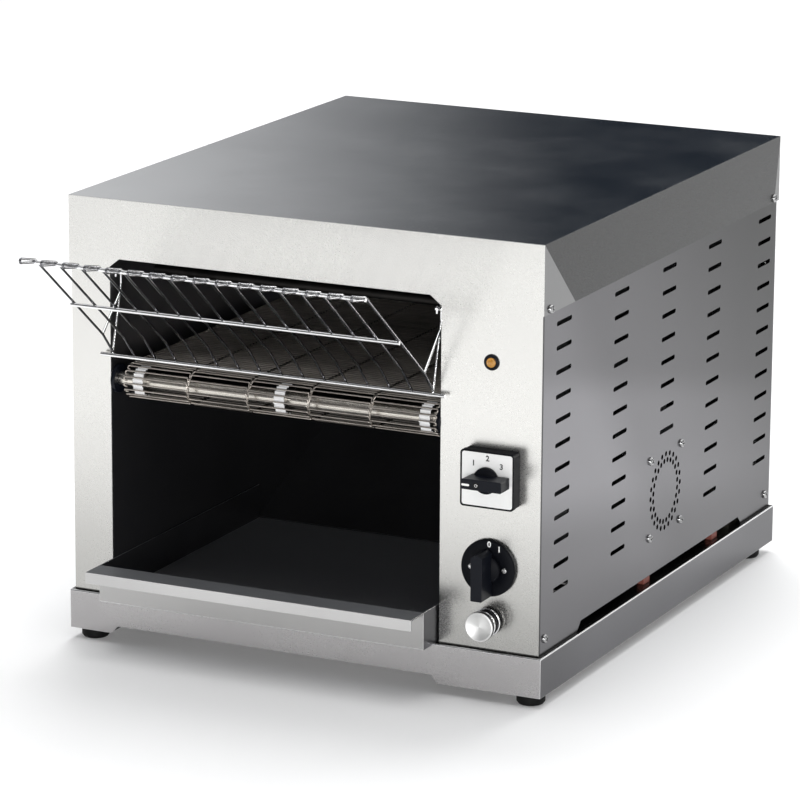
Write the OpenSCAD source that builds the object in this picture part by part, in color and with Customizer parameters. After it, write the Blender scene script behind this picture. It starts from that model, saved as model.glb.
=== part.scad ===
// Conveyor toaster, countertop size, in millimetres. X runs to the right, Y to the back, Z up.
// The modules draw in body coordinates: X = 0 on the middle plane, Y = 0 on the front face of the
// top cover, Z = 0 on the table. place() then moves them so that the origin is the middle of the
// footprint of everything that sticks out.

/* [Body] */
// Width over the top cover
body_w = 455; // [430:1:520]
// Depth over the top cover
body_d = 541; // [520:1:620]
// Height of the top cover above the table
body_h = 404; // [396:1:440]
// Height of the cover's folded sides
cover_h = 61; // [50:1:66]
// Thickness of the outer sheet
sheet = 1.2; // [0.8:0.1:1.4]
// Gap between the cover and the panels that it overlaps
cover_gap = 0.3; // [0.2:0.1:0.6]
// How far the panels run up behind the cover's folded sides
overlap = 7; // [5:1:7]

/* [Base] */
// Height of the base frame's skirt
base_h = 35.5; // [30:0.5:40]
// How far the base frame stands proud of the cover
base_proud = 2; // [1:0.5:5]
// Height of the step that is cut out of the skirt between the feet
skirt_step = 7; // [4:1:12]
// Diameter of a foot
foot_d = 25; // [20:1:30]
// Height of a foot
foot_h = 10; // [8:1:20]
// Foot's middle from the side of the cover
foot_side = 14; // [14:1:30]
// Foot's middle from the front of the cover
foot_front = 15; // [15:1:40]
// Foot's middle from the back of the cover
foot_back = 26; // [15:1:60]

/* [Opening and chamber] */
// Width of the front opening and of the chamber behind it
open_w = 320; // [300:1:322]
// Left edge of the opening from the left side of the cover
open_left = 40; // [36:1:44]
// How far the opening is cut up into the cover's front fold
open_notch = 8; // [4:1:12]
// Width of the bevel at the opening's top corners
open_bevel = 10; // [4:1:16]
// Thickness of the chamber's sheet
wall = 1; // [0.8:0.1:1.2]
// Space between the chamber's back wall and the rear panel
rear_space = 42; // [36:1:60]
// Height of the chamber's ceiling above the top of the opening
ceiling_rise = 4; // [2:1:12]
// Slope of the toast chute in degrees
chute_angle = 23; // [20:1:28]

/* [Conveyor] */
// Diameter of the two conveyor shafts
shaft_d = 12; // [10:1:14]
// Number of sprocket teeth, and of belt rods, round one end of the belt
belt_teeth = 16; // [14:1:18]
// Spacing of the belt's cross rods
rod_pitch = 5.8; // [5.2:0.1:6.4]
// Diameter of a belt rod
rod_d = 1.8; // [1.4:0.1:2]
// Gap between the chamber's left wall and the belt
belt_left = 14; // [12:0.5:20]
// Gap between the belt and the chamber's right wall
belt_right = 2; // [1.5:0.5:12]
// Lanes between the belt's link rows
belt_lanes = 5; // [3:1:6]
// Number of rod spacings in one straight run of the belt
belt_run = 66; // [60:1:67]
// Front shaft's height above the base frame's top
shaft_rise = 195.6; // [185:0.1:200]
// Front shaft's axis from the cover's front face
shaft_front = 13; // [12:0.5:16]
// Radial running clearance of every shaft in its bearing
run_fit = 0.05; // [0.02:0.01:0.1]
// Width of a belt sprocket
sprocket_w = 10; // [4:1:12]
// Each outer sprocket's middle from its end of the belt
sprocket_in = 13; // [12:1:30]

/* [Heaters] */
// Diameter of a heater tube
heater_d = 8.5; // [6.5:0.5:9]
// Upper heater tubes above the belt's top
heater_rise = 68; // [60:1:72]
// Number of upper tubes
upper_count = 5; // [3:1:6]
// Number of lower tubes
lower_count = 4; // [2:1:5]
// Spacing of the tubes
heater_pitch = 62; // [55:1:64]
// First tube from the cover's front face
heater_front = 85; // [80:1:95]

/* [Feed rack] */
// Number of rack wires
rack_wires = 16; // [10:1:18]
// Diameter of a rack wire
wire_d = 2.2; // [1.8:0.1:2.4]
// Diameter of the rack's cross rails
rail_d = 3.4; // [3:0.1:3.6]
// Distance between the first and the last wire
rack_spread = 310; // [290:1:310]
// How far the rack reaches out in front of the cover
rack_reach = 160; // [140:1:180]
// Height of the rack's bottom rail above the belt
rack_gap = 8.8; // [6:0.2:12]
// Lift that takes the rack off its studs
rack_lift = 9; // [6:0.5:9]

/* [Toast tray] */
// Side gap between the tray and the chamber wall
tray_gap = 1.7; // [1:0.1:3]
// Height of the tray's walls
tray_h = 33.5; // [25:0.5:40]
// How far the tray's front wall stands out of the cover's front face
tray_out = 26; // [15:1:40]
// Depth of the tray's pull lip
lip_d = 25; // [15:1:30]
// Drop of the lip's folded edge
lip_drop = 10; // [6:1:14]
// Back edge of the tray from the cover's front face
tray_back = 276; // [250:1:300]

/* [Side vents] */
// Length of a vent slot
slot_len = 31.5; // [20:0.5:40]
// Width of a vent slot
slot_w = 4; // [3:0.5:6]
// Vertical spacing of the slots
slot_pitch = 21.2; // [16:0.2:21.2]
// Number of slots in a full column
slot_rows = 12; // [6:1:12]
// Slots in the column above the fan
slot_rows_fan = 8; // [2:1:8]
// Top slot's middle below the seam of the cover
slot_top = 12.8; // [10:0.2:16]
// Inner slot columns from the middle column
slot_inner = 108; // [90:1:115]
// Outer slot columns from the middle column
slot_outer = 232; // [200:1:235]
// Middle slot column from the cover's front face
slot_middle = 278; // [270:1:290]
// Height of the air gap along the side panels' bottom edge
gap_h = 8.5; // [5:0.5:12]

/* [Fan] */
// Side of the fan's square frame
fan_size = 80; // [60:1:80]
// Thickness of the fan
fan_t = 25; // [15:1:28]
// Spacing of the fan's screws
fan_pitch = 71.5; // [50:0.5:73]
// Fan's middle above the base frame's top
fan_rise = 79; // [70:1:84]
// Number of holes in each row of the fan grille
grille_count = 24; // [12:1:24]
// Diameter of a grille hole
grille_hole = 4.8; // [3:0.1:5]
// Radius of the grille's outer row
grille_outer = 34.3; // [32:0.1:35]
// Radius of the grille's inner row
grille_inner = 28.2; // [24:0.1:28.4]

/* [Drive] */
// Chain pitch
chain_pitch = 8; // [6:0.5:8.5]
// Teeth of the motor's sprocket
motor_teeth = 12; // [10:1:14]
// Teeth of the conveyor shaft's chain sprocket
driven_teeth = 18; // [15:1:20]
// Motor shaft's height above the base frame's top
motor_rise = 80; // [70:1:90]
// Diameter of the motor's output shaft
motor_shaft_d = 8; // [6:1:10]

/* [Front controls] */
// Controls' common line from the right side of the cover
control_side = 48; // [44:1:52]
// Pilot lamp below the cover's seam
lamp_drop = 44.5; // [35:0.5:60]
// Outer diameter of the lamp's bezel
lamp_d = 14; // [10:0.5:18]
// Heat selector's middle from the right side of the cover
selector_side = 45; // [42:1:52]
// Heat selector's middle above the base frame's top
selector_rise = 154.2; // [145:0.1:165]
// Side of the heat selector's square frame
selector_size = 49.5; // [44:0.5:52]
// How far the heat selector's frame stands out
selector_out = 13; // [6:1:16]
// How far the heat selector's handle stands out of its frame
selector_grip = 18.5; // [12:0.5:22]
// Length of the heat selector's handle
selector_len = 36.5; // [30:0.5:38]
// Width of the heat selector's handle
selector_bar = 10; // [8:0.5:12]
// Power switch's middle above the base frame's top
power_rise = 73.9; // [72:0.1:76]
// Diameter of the power switch's plate
power_d = 50; // [48:0.5:54]
// How far the power switch's handle stands out
power_grip = 26; // [14:1:30]
// Speed knob's middle above the base frame's top
knob_rise = 26.5; // [24:0.5:30]
// Diameter of the speed knob
knob_d = 26; // [22:0.5:28]
// How far the speed knob stands out
knob_len = 20; // [15:0.5:24]

/* [Hardware] */
// Thread diameter of the case screws
screw_d = 4; // [3:0.5:4]
// Head diameter of the case screws
head_d = 7.6; // [6:0.2:8]
// Head height of the case screws
head_h = 2.6; // [2:0.1:3]
// Diameter of the hole through the cable gland
gland_bore = 8; // [6:0.5:10]
// How far the gland stands out of the rear panel
gland_reach = 14; // [10:1:20]
// Length of a wiring clip
clip_len = 13; // [8:1:16]
// Height of a wiring clip
clip_h = 6; // [4:0.5:8]

/* [Hidden] */
$fn = 48;

// Main planes
base_top = foot_h + base_h;
seam_z = body_h - cover_h;
panel_inset = sheet + cover_gap;
panel_x = body_w / 2 - panel_inset;
panel_y = panel_inset;
panel_back = body_d - panel_inset;
panel_top = seam_z + overlap;
base_x = body_w / 2 + base_proud;

// Front opening and chamber
open_x0 = -body_w / 2 + open_left;
open_x1 = open_x0 + open_w;
open_mid = (open_x0 + open_x1) / 2;
open_top = seam_z + open_notch;
chamber_front = panel_y + sheet;
chamber_back = panel_back - sheet - rear_space;
ceiling_z = open_top + ceiling_rise;
control_x = body_w / 2 - control_side;

// Belt: the rods lie on belt_r round the shafts, and the runs are whole numbers of rod spacings
belt_r = rod_pitch / (2 * sin(180 / belt_teeth));
belt_len = belt_run * rod_pitch;
belt_link_w = 2.4;
belt_link_t = 1;
shaft_z = base_top + shaft_rise;
shaft_back = shaft_front + belt_len;
belt_top = shaft_z + belt_r + rod_d / 2;
belt_x0 = open_x0 + belt_left;
belt_w = open_w - belt_left - belt_right;
belt_mid = belt_x0 + belt_w / 2;
sprocket_spread = belt_w / 2 - sprocket_in;
sprocket_r = belt_r - rod_d / 2 - 0.6;
bush_flange_d = 26;
bush_flange_t = 4;
bush_d = 20;
bush_len = 10;

// Heaters
upper_z = belt_top + heater_rise;
lower_z = shaft_z + 3;
collar_d = 15;
collar_len = 12;
heater_end = 9;
heater_pin_d = 3.5;
heater_pin_len = 5;
heater_room = heater_end + heater_pin_len;
shield_z = shaft_z - belt_r + 5.5;

// Chute: a straight ramp from the tray to the back wall, then up to the ceiling
chute_gap = 1.5;
chute_y0 = tray_back + chute_gap;
tray_floor_z = base_top + 0.5;
chute_z0 = tray_floor_z + 1.2;
chute_z1 = chute_z0 + (chamber_back - chute_y0) * tan(chute_angle);

// Rack: corner points of a wire in (Y, Z), from the bottom rail to the lip
rack_z = belt_top + rack_gap;
rack_bottom = [-4, rack_z];
rack_bend = [-22.5, rack_z + 20.5];
rack_middle = [-72, rack_z + 58.5];
rack_top = [24.5 - rack_reach, rack_z + 109];
rack_lip = [wire_d / 2 - rack_reach, rack_z + 117];
rack_step = rack_spread / (rack_wires - 1);
leg_y = 12;
hook_y = 3.2;
stud_y = (leg_y + hook_y) / 2;
stud_d = 4;
stud_len = 8.5;
hook_z = rack_z + 75.5;
hook_tip = 6.5;
rack_rest = 0.3;
stud_z = hook_z - wire_d / 2 - rack_rest - stud_d / 2;
// The legs stand upright above the knee, as far down as the studs reach on a lifted rack
rack_knee = [leg_y, stud_z - stud_d / 2 - rack_lift];
brace_share = 0.88;
brace_end = rack_bottom + brace_share * (rack_knee - rack_bottom);

// Drive: both chain sprockets stand in one plane between the chamber wall and the gearbox
chain_x = open_x1 + 17;
chain_w = 3;
driven_r = chain_pitch / (2 * sin(180 / driven_teeth));
motor_r = chain_pitch / (2 * sin(180 / motor_teeth));
motor_y = shaft_back;
motor_z = base_top + motor_rise;
bracket_x = chain_x + 9;
gearbox_t = 24;
gearbox_w = 60;
gearbox_h = 76;
motor_d = 56;
motor_len = 34;
bracket_half = 44;
bracket_foot = 50;
bracket_top = 40;

// Fan
fan_x1 = panel_x - sheet;
fan_x0 = fan_x1 - fan_t;
fan_z = base_top + fan_rise;
fan_hole_d = fan_size - 4;
fan_hub_d = 32;
fan_pin_d = 3;
fan_screw_d = 4;

// Controls
lamp_z = seam_z - lamp_drop;
selector_x = body_w / 2 - selector_side;
selector_z = base_top + selector_rise;
label_t = 0.6;
label_frame = 1.3;
spindle_d = 8;
selector_box = 44;
selector_hub = 23;
selector_shift = 3.3;
selector_depth = 48;
power_z = base_top + power_rise;
power_out = 3;
power_box = 46;
power_depth = 52;
power_screw_x = 15.6;
knob_z = base_top + knob_rise;
knob_spindle_d = 6;

// Case screws, their middles from the cover's edges
screw_side_y = 13.4;
screw_cover_z = seam_z + 4;
screw_base_z = base_top + 13.7;
rear_screw_side = 8;
rear_screw_inset = 60;
tab_w = 24;
tab_h = 24;
hole_gap = 0.1;

// Wiring clips on the floor behind the right side panel's air gap
clip_y = [247, 409];
clip_w = 7;
clip_side = 2;

// Everything that sticks out to the front and to the back
back_reach = max(panel_back + gland_reach, body_d + base_proud);
origin_y = (rack_reach - back_reach) / 2;

steel = [0.78, 0.78, 0.77];
dark_steel = [0.16, 0.16, 0.18];
black = [0.07, 0.07, 0.08];

// ---- helpers -------------------------------------------------------------------------------

module place() {
    translate([0, origin_y, 0]) children();
}

// A box between two corners
module block(low, high) {
    translate(low) cube(high - low);
}

// A cylinder along X, Y or Z from its start point
module rod_x(d, x0, x1, y, z) {
    translate([x0, y, z]) rotate([0, 90, 0]) cylinder(d = d, h = x1 - x0);
}
module rod_y(d, y0, y1, x, z) {
    translate([x, y0, z]) rotate([-90, 0, 0]) cylinder(d = d, h = y1 - y0);
}
module rod_z(d, z0, z1, x, y) {
    translate([x, y, z0]) cylinder(d = d, h = z1 - z0);
}

// Extrudes a (Y, Z) outline along X
module along_x(x0, x1) {
    translate([x0, 0, 0]) rotate([90, 0, 90]) linear_extrude(x1 - x0) children();
}

// Outline of a strip of thickness t along a path, with mitred corners
function unit(v) = v / norm(v);
function perp(v) = [-v[1], v[0]];
function edge(p, i) = unit(p[min(i + 1, len(p) - 1)] - p[min(i, len(p) - 2)]);
function corner(p, i, d) =
    let (a = edge(p, max(i - 1, 0)), b = edge(p, i), m = perp(unit(a + b)))
    p[i] + m * d / (m * perp(a));
function strip(p, t) = concat(
    [for (i = [0 : len(p) - 1]) corner(p, i, t / 2)],
    [for (i = [len(p) - 1 : -1 : 0]) corner(p, i, -t / 2)]
);

// A round-ended slot through a side panel, long way along Y
module vent_slot(x, y, z) {
    half = (slot_len - slot_w) / 2;
    block([x - 3, y - half, z - slot_w / 2], [x + 3, y + half, z + slot_w / 2]);
    for (s = [-1, 1]) rod_x(slot_w, x - 3, x + 3, y + s * half, z);
}

// A pan-head screw whose head sits at the origin and whose shank runs down -Z
module pan_screw(d, head, h, len) {
    cylinder(d1 = head, d2 = head * 0.72, h = h);
    translate([0, 0, -len]) cylinder(d = d, h = len + 0.5);
}

// Turns a piece that was drawn along +Z so that +Z points along +X, -X, -Y or +Y
module face_x(side) {
    rotate([0, side * 90, 0]) children();
}
module face_front() {
    rotate([90, 0, 0]) children();
}
module face_back() {
    rotate([-90, 0, 0]) children();
}

// Places of the four feet, and of the case screws on the two sides
foot_places = [for (x = [-1, 1], y = [foot_front, body_d - foot_back])
    [x * (body_w / 2 - foot_side), y]];
side_places = [for (s = [-1, 1], y = [screw_side_y, body_d - screw_side_y]) [s, y]];

// Places of the rear panel's screws, which also pass through the side panels' rear folds
rear_places = [for (s = [-1, 1], z = [base_top + rear_screw_inset, seam_z - rear_screw_inset])
    [s * (panel_x - rear_screw_side), z]];

// ---- base ----------------------------------------------------------------------------------

module skirt_cut(y0, y1) {
    slope = skirt_step - 1;
    translate([0, y1, 0]) rotate([90, 0, 0]) linear_extrude(y1 - y0) polygon([
        [open_x0, foot_h - 1], [open_x0, foot_h], [open_x0 + slope, foot_h + skirt_step],
        [open_x1 - slope, foot_h + skirt_step], [open_x1, foot_h], [open_x1, foot_h - 1]
    ]);
}

module base_tab(side, y) {
    inner = panel_x - sheet;
    x0 = side > 0 ? inner - sheet : -inner;
    y0 = y < body_d / 2 ? chamber_front + 1 : panel_back - sheet - 1 - tab_w;
    block([x0, y0, base_top - 0.5], [x0 + sheet, y0 + tab_w, base_top + tab_h]);
}

module base_frame() {
    front = -base_proud;
    back = body_d + base_proud;
    flange = 40;
    place() color(steel) difference() {
        union() {
            difference() {
                block([-base_x, front, foot_h], [base_x, back, base_top]);
                block([sheet - base_x, front + sheet, foot_h - 1],
                      [base_x - sheet, back - sheet, base_top - sheet]);
            }
            for (s = [-1, 1], y = [front + sheet / 2, back - sheet / 2 - flange])
                block([s > 0 ? base_x - sheet / 2 - flange : sheet / 2 - base_x, y, foot_h],
                      [s > 0 ? base_x - sheet / 2 : sheet / 2 - base_x + flange, y + flange,
                       foot_h + 2 * sheet]);
            for (p = side_places) base_tab(p[0], p[1]);
        }
        skirt_cut(front - 1, front + sheet + 1);
        skirt_cut(back - sheet - 1, back + 1);
        for (p = foot_places) rod_z(6.2, foot_h - 1, foot_h + 2 * sheet + 1, p[0], p[1]);
        for (p = side_places)
            rod_x(screw_d + 2 * hole_gap, p[0] * panel_x - 6, p[0] * panel_x + 6, p[1], screw_base_z);
        for (i = [0 : 7]) translate([open_x1 + 20, 60 + 25 * i, base_top - 2]) cube([50, 5, 3]);
    }
}

module feet() {
    stud_top = foot_h + 2 * sheet + 6;
    place() color(black) for (p = foot_places) translate([p[0], p[1], 0]) {
        cylinder(d1 = foot_d - 3, d2 = foot_d, h = 2);
        translate([0, 0, 2]) cylinder(d = foot_d, h = foot_h - 2);
        cylinder(d = 6, h = stud_top);
    }
}

module foot_nuts() {
    nut_z = foot_h + 2 * sheet;
    place() color(steel) for (p = foot_places) translate([p[0], p[1], nut_z]) difference() {
        cylinder(d = 11.5, h = 4.5, $fn = 6);
        translate([0, 0, -1]) cylinder(d = 6.1, h = 7);
    }
}

// ---- casing --------------------------------------------------------------------------------

module side_sheet(side) {
    inner = panel_x - sheet;
    x0 = side > 0 ? inner : -panel_x;
    gap_y0 = 82;
    gap_y1 = body_d - 73;
    slope = 9;
    difference() {
        union() {
            block([x0, chamber_front, base_top], [x0 + sheet, panel_back - sheet, panel_top]);
            // folds behind the front and rear panels
            for (y = [chamber_front, panel_back - 2 * sheet])
                block([side > 0 ? inner - 12 : -inner, y, base_top + tab_h + 2],
                      [side > 0 ? inner : 12 - inner, y + sheet, panel_top]);
        }
        for (s = [-1, 1], k = [0 : slot_rows - 1], c = [slot_inner, slot_outer])
            vent_slot(side * panel_x, slot_middle + s * c, seam_z - slot_top - k * slot_pitch);
        for (k = [0 : slot_rows_fan - 1])
            vent_slot(side * panel_x, slot_middle, seam_z - slot_top - k * slot_pitch);
        along_x(x0 - 1, x0 + sheet + 1) polygon([
            [gap_y0, base_top - 1], [gap_y0, base_top], [gap_y0 + slope, base_top + gap_h],
            [gap_y1 - slope, base_top + gap_h], [gap_y1, base_top], [gap_y1, base_top - 1]
        ]);
        for (y = [screw_side_y, body_d - screw_side_y], z = [screw_base_z, screw_cover_z])
            rod_x(screw_d + 2 * hole_gap, side * panel_x - 6, side * panel_x + 6, y, z);
        for (p = rear_places)
            rod_y(screw_d + 2 * hole_gap, panel_back - 3 * sheet, panel_back, p[0], p[1]);
    }
}

module side_panel_left() {
    place() color(steel) side_sheet(-1);
}

module grille_ring(r, turn) {
    for (i = [0 : grille_count - 1]) {
        a = 360 / grille_count * (i + turn);
        rod_x(grille_hole, panel_x - 5, panel_x + 5, slot_middle + r * cos(a), fan_z + r * sin(a));
    }
}

module side_panel_right() {
    place() color(steel) difference() {
        side_sheet(1);
        grille_ring(grille_outer, 0);
        grille_ring(grille_inner, 0.5);
        for (y = [-1, 1], z = [-1, 1])
            rod_x(fan_screw_d + 2 * hole_gap, panel_x - 5, panel_x + 5,
                  slot_middle + y * fan_pitch / 2, fan_z + z * fan_pitch / 2);
    }
}

module top_cover() {
    place() color(steel) difference() {
        block([-body_w / 2, 0, seam_z], [body_w / 2, body_d, body_h]);
        block([sheet - body_w / 2, sheet, seam_z - 1],
              [body_w / 2 - sheet, body_d - sheet, body_h - sheet]);
        translate([0, sheet + 1, 0]) rotate([90, 0, 0]) linear_extrude(sheet + 2) polygon([
            [open_x0, seam_z - 1], [open_x0, seam_z], [open_x0 + open_bevel, open_top],
            [open_x1 - open_bevel, open_top], [open_x1, seam_z], [open_x1, seam_z - 1]
        ]);
        for (p = side_places)
            rod_x(screw_d + 2 * hole_gap, p[0] * panel_x - 6, p[0] * panel_x + 6, p[1], screw_cover_z);
    }
}

module front_post() {
    place() color(steel)
        block([-panel_x, panel_y, base_top], [open_x0, panel_y + sheet, panel_top]);
}

module control_panel() {
    y0 = panel_y - 1;
    y1 = panel_y + sheet + 1;
    place() color(steel) difference() {
        block([open_x1, panel_y, base_top], [panel_x, panel_y + sheet, panel_top]);
        rod_y(lamp_d - 3.8, y0, y1, control_x, lamp_z);
        rod_y(spindle_d + 4, y0, y1, selector_x, selector_z);
        rod_y(spindle_d + 4, y0, y1, control_x, power_z);
        rod_y(8, y0, y1, control_x, knob_z);
        for (s = [-1, 1]) rod_y(3.2, y0, y1, control_x + s * power_screw_x, power_z);
    }
}

module rear_panel() {
    y1 = panel_back;
    place() color(steel) difference() {
        block([-panel_x, y1 - sheet, base_top], [panel_x, y1, panel_top]);
        for (i = [0 : 9], k = [0 : 3])
            block([open_mid - 142 + i * 30, y1 - 4, seam_z - 40 - 22 * k],
                  [open_mid - 142 + i * 30 + 20, y1 + 4, seam_z - 36 - 22 * k]);
        rod_y(16.2, y1 - 4, y1 + 4, control_x, base_top + 40);
        for (p = rear_places) rod_y(screw_d + 2 * hole_gap, y1 - 4, y1 + 4, p[0], p[1]);
    }
}

// ---- chamber -------------------------------------------------------------------------------

module chamber_wall(x0) {
    difference() {
        block([x0, chamber_front, base_top], [x0 + wall, chamber_back, ceiling_z]);
        for (y = [shaft_front, shaft_back]) rod_x(bush_d, x0 - 1, x0 + wall + 1, y, shaft_z);
        for (i = [0 : upper_count - 1])
            rod_x(heater_d + 1, x0 - 1, x0 + wall + 1, heater_front + i * heater_pitch, upper_z);
        for (i = [0 : lower_count - 1])
            rod_x(heater_d + 1, x0 - 1, x0 + wall + 1, heater_front + (i + 0.5) * heater_pitch, lower_z);
    }
}

module chamber_wall_left() {
    place() color(dark_steel) chamber_wall(open_x0 - wall);
}

module chamber_wall_right() {
    place() color(dark_steel) chamber_wall(open_x1);
}

module chamber_ceiling() {
    place() color(dark_steel) block([open_x0 - wall, chamber_front, ceiling_z],
                                    [open_x1 + wall, chamber_back, ceiling_z + wall]);
}

module toast_chute() {
    path = [[chute_y0, chute_z0], [chamber_back - 0.5, chute_z1], [chamber_back - 0.5, ceiling_z]];
    foot = [[chute_y0 + 1.2, chute_z0 - 0.2], [chute_y0 + 1.2, base_top]];
    place() color(dark_steel) {
        along_x(open_x0, open_x1) polygon(strip(path, wall));
        along_x(open_x0 + 10, open_x1 - 10) polygon(strip(foot, wall));
    }
}

module heat_shield() {
    y0 = shaft_front + 28;
    y1 = shaft_back - 28;
    fold = 8;
    place() color(dark_steel) {
        block([open_x0, y0, shield_z], [open_x1, y1, shield_z + wall]);
        for (x = [open_x0, open_x1 - wall])
            block([x, y0, shield_z], [x + wall, y1, shield_z + fold]);
    }
}

// ---- heaters -------------------------------------------------------------------------------

module heater(y, z) {
    x0 = open_x0 - wall - heater_end;
    x1 = open_x1 + wall + heater_end;
    rod_x(heater_d, x0, x1, y, z);
    rod_x(heater_pin_d, x0 - heater_pin_len, x1 + heater_pin_len, y, z);
}

module upper_heaters() {
    place() color([0.35, 0.34, 0.33])
        for (i = [0 : upper_count - 1]) heater(heater_front + i * heater_pitch, upper_z);
}

module lower_heaters() {
    place() color([0.35, 0.34, 0.33])
        for (i = [0 : lower_count - 1]) heater(heater_front + (i + 0.5) * heater_pitch, lower_z);
}

module collar_pair(y, z) {
    len = collar_len - heater_room / 2;
    for (x = [open_x0 - wall - len, open_x1 + wall]) difference() {
        rod_x(collar_d, x, x + len, y, z);
        rod_x(heater_d, x - 1, x + len + 1, y, z);
    }
}

module heater_collars() {
    place() color([0.9, 0.88, 0.82]) {
        for (i = [0 : upper_count - 1]) collar_pair(heater_front + i * heater_pitch, upper_z);
        for (i = [0 : lower_count - 1]) collar_pair(heater_front + (i + 0.5) * heater_pitch, lower_z);
    }
}

// ---- conveyor ------------------------------------------------------------------------------

// A flanged bush through a chamber wall; side is -1 for the left wall and 1 for the right one
module bush(side, y) {
    inner = side > 0 ? open_x1 : open_x0;
    x0 = side > 0 ? inner : inner - bush_len;
    difference() {
        union() {
            rod_x(bush_d, x0, x0 + bush_len, y, shaft_z);
            rod_x(bush_flange_d, side > 0 ? inner - bush_flange_t : inner,
                  side > 0 ? inner : inner + bush_flange_t, y, shaft_z);
        }
        rod_x(shaft_d + 2 * run_fit, x0 - 20, x0 + bush_len + 20, y, shaft_z);
    }
}

module shaft_bushes() {
    place() color(black) for (s = [-1, 1], y = [shaft_front, shaft_back]) bush(s, y);
}

module belt_sprocket(x, y) {
    points = [for (i = [0 : 2 * belt_teeth - 1])
        let (a = 180 / belt_teeth * (i + 0.5), r = i % 2 == 0 ? sprocket_r : sprocket_r - 1.6)
        [r * cos(a), r * sin(a)]];
    translate([x - sprocket_w / 2, y, shaft_z]) rotate([90, 0, 90]) difference() {
        linear_extrude(sprocket_w) polygon(points);
        translate([0, 0, -1]) cylinder(d = shaft_d, h = sprocket_w + 2);
    }
}

module front_shaft() {
    place() color(steel)
        rod_x(shaft_d, open_x0 - bush_len - 3, open_x1 + bush_len + 3, shaft_front, shaft_z);
}

module front_sprockets() {
    place() color([0.9, 0.9, 0.88]) for (s = [-1, 0, 1])
        belt_sprocket(belt_mid + s * sprocket_spread, shaft_front);
}

module rear_shaft() {
    place() color(steel)
        rod_x(shaft_d, open_x0 - bush_len - 3, chain_x + chain_w / 2 + 1, shaft_back, shaft_z);
}

module rear_sprockets() {
    place() color([0.9, 0.9, 0.88]) for (s = [-1, 0, 1])
        belt_sprocket(belt_mid + s * sprocket_spread, shaft_back);
}

// Outline of a loop round both shafts, d outside the line of the rods
module belt_outline(d) {
    for (y = [shaft_front, shaft_back]) translate([y, shaft_z]) circle(r = belt_r + d);
    translate([shaft_front, shaft_z - belt_r - d]) square([belt_len, 2 * (belt_r + d)]);
}

module wire_belt() {
    half = belt_teeth / 2;
    place() color([0.5, 0.48, 0.45]) {
        for (i = [0 : belt_run], s = [-1, 1])
            rod_x(rod_d, belt_x0, belt_x0 + belt_w, shaft_front + i * rod_pitch, shaft_z + s * belt_r);
        for (i = [1 : half - 1]) {
            y = belt_r * sin(180 * i / half);
            z = shaft_z + belt_r * cos(180 * i / half);
            rod_x(rod_d, belt_x0, belt_x0 + belt_w, shaft_front - y, z);
            rod_x(rod_d, belt_x0, belt_x0 + belt_w, shaft_back + y, z);
        }
        for (k = [0 : belt_lanes]) {
            x = belt_x0 + k * (belt_w - belt_link_w) / belt_lanes;
            along_x(x, x + belt_link_w) difference() {
                belt_outline(belt_link_t / 2);
                belt_outline(-belt_link_t / 2);
            }
        }
    }
}

// ---- drive ---------------------------------------------------------------------------------

module chain_gear(teeth, y, z, bore) {
    tip = chain_pitch / (2 * sin(180 / teeth)) + 1.6;
    root = tip - 4.4;
    points = [for (i = [0 : 4 * teeth - 1])
        let (a = 90 / teeth * (i + 0.5), r = i % 4 < 2 ? tip : root)
        [r * cos(a), r * sin(a)]];
    translate([chain_x - chain_w / 2, y, z]) rotate([90, 0, 90]) difference() {
        linear_extrude(chain_w) polygon(points);
        translate([0, 0, -1]) cylinder(d = bore, h = chain_w + 2);
    }
}

module chain_sprocket() {
    place() color([0.45, 0.45, 0.47])
        chain_gear(driven_teeth, shaft_back, shaft_z, shaft_d);
}

module motor_sprocket() {
    place() color([0.45, 0.45, 0.47]) {
        chain_gear(motor_teeth, motor_y, motor_z, motor_shaft_d - 1);
        rod_x(motor_shaft_d, chain_x - chain_w / 2 - 2, bracket_x + sheet + 12, motor_y, motor_z);
    }
}

module chain_outline(d) {
    h = shaft_z - motor_z;
    lean = asin((driven_r - motor_r) / h);
    far = [for (s = [1, -1]) for (e = [0, 1])
        let (up = s > 0 ? e : 1 - e, r = (up > 0 ? driven_r : motor_r) + d)
        [shaft_back + s * r * cos(lean), (up > 0 ? shaft_z : motor_z) - r * sin(lean)]];
    translate([shaft_back, shaft_z]) circle(r = driven_r + d);
    translate([motor_y, motor_z]) circle(r = motor_r + d);
    polygon(far);
}

module drive_chain() {
    plate = 1;
    half = chain_w / 2 + 0.4;
    span = shaft_z - motor_z;
    lean = asin((driven_r - motor_r) / span);
    place() color([0.3, 0.3, 0.31]) {
        for (x = [chain_x - half - plate, chain_x + half]) along_x(x, x + plate) difference() {
            chain_outline(3);
            chain_outline(-3);
        }
        for (s = [-1, 1], k = [0 : 3]) {
            t = 0.36 + 0.1 * k;
            r = motor_r + (driven_r - motor_r) * t;
            rod_x(4.5, chain_x - half - 0.5, chain_x + half + 0.5,
                  shaft_back + s * r * cos(lean), motor_z + span * t - r * sin(lean));
        }
    }
}

module gearbox() {
    x0 = bracket_x + sheet;
    place() color([0.55, 0.56, 0.58]) difference() {
        block([x0, motor_y - gearbox_w / 2, motor_z - gearbox_h / 2 - 6],
              [x0 + gearbox_t, motor_y + gearbox_w / 2, motor_z + gearbox_h / 2 - 6]);
        rod_x(motor_shaft_d + 2 * run_fit, x0 - 1, x0 + 12.5, motor_y, motor_z);
    }
}

module motor() {
    x0 = bracket_x + sheet + gearbox_t;
    place() color([0.2, 0.2, 0.22]) rod_x(motor_d, x0, x0 + motor_len, motor_y, motor_z - 10);
}

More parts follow.
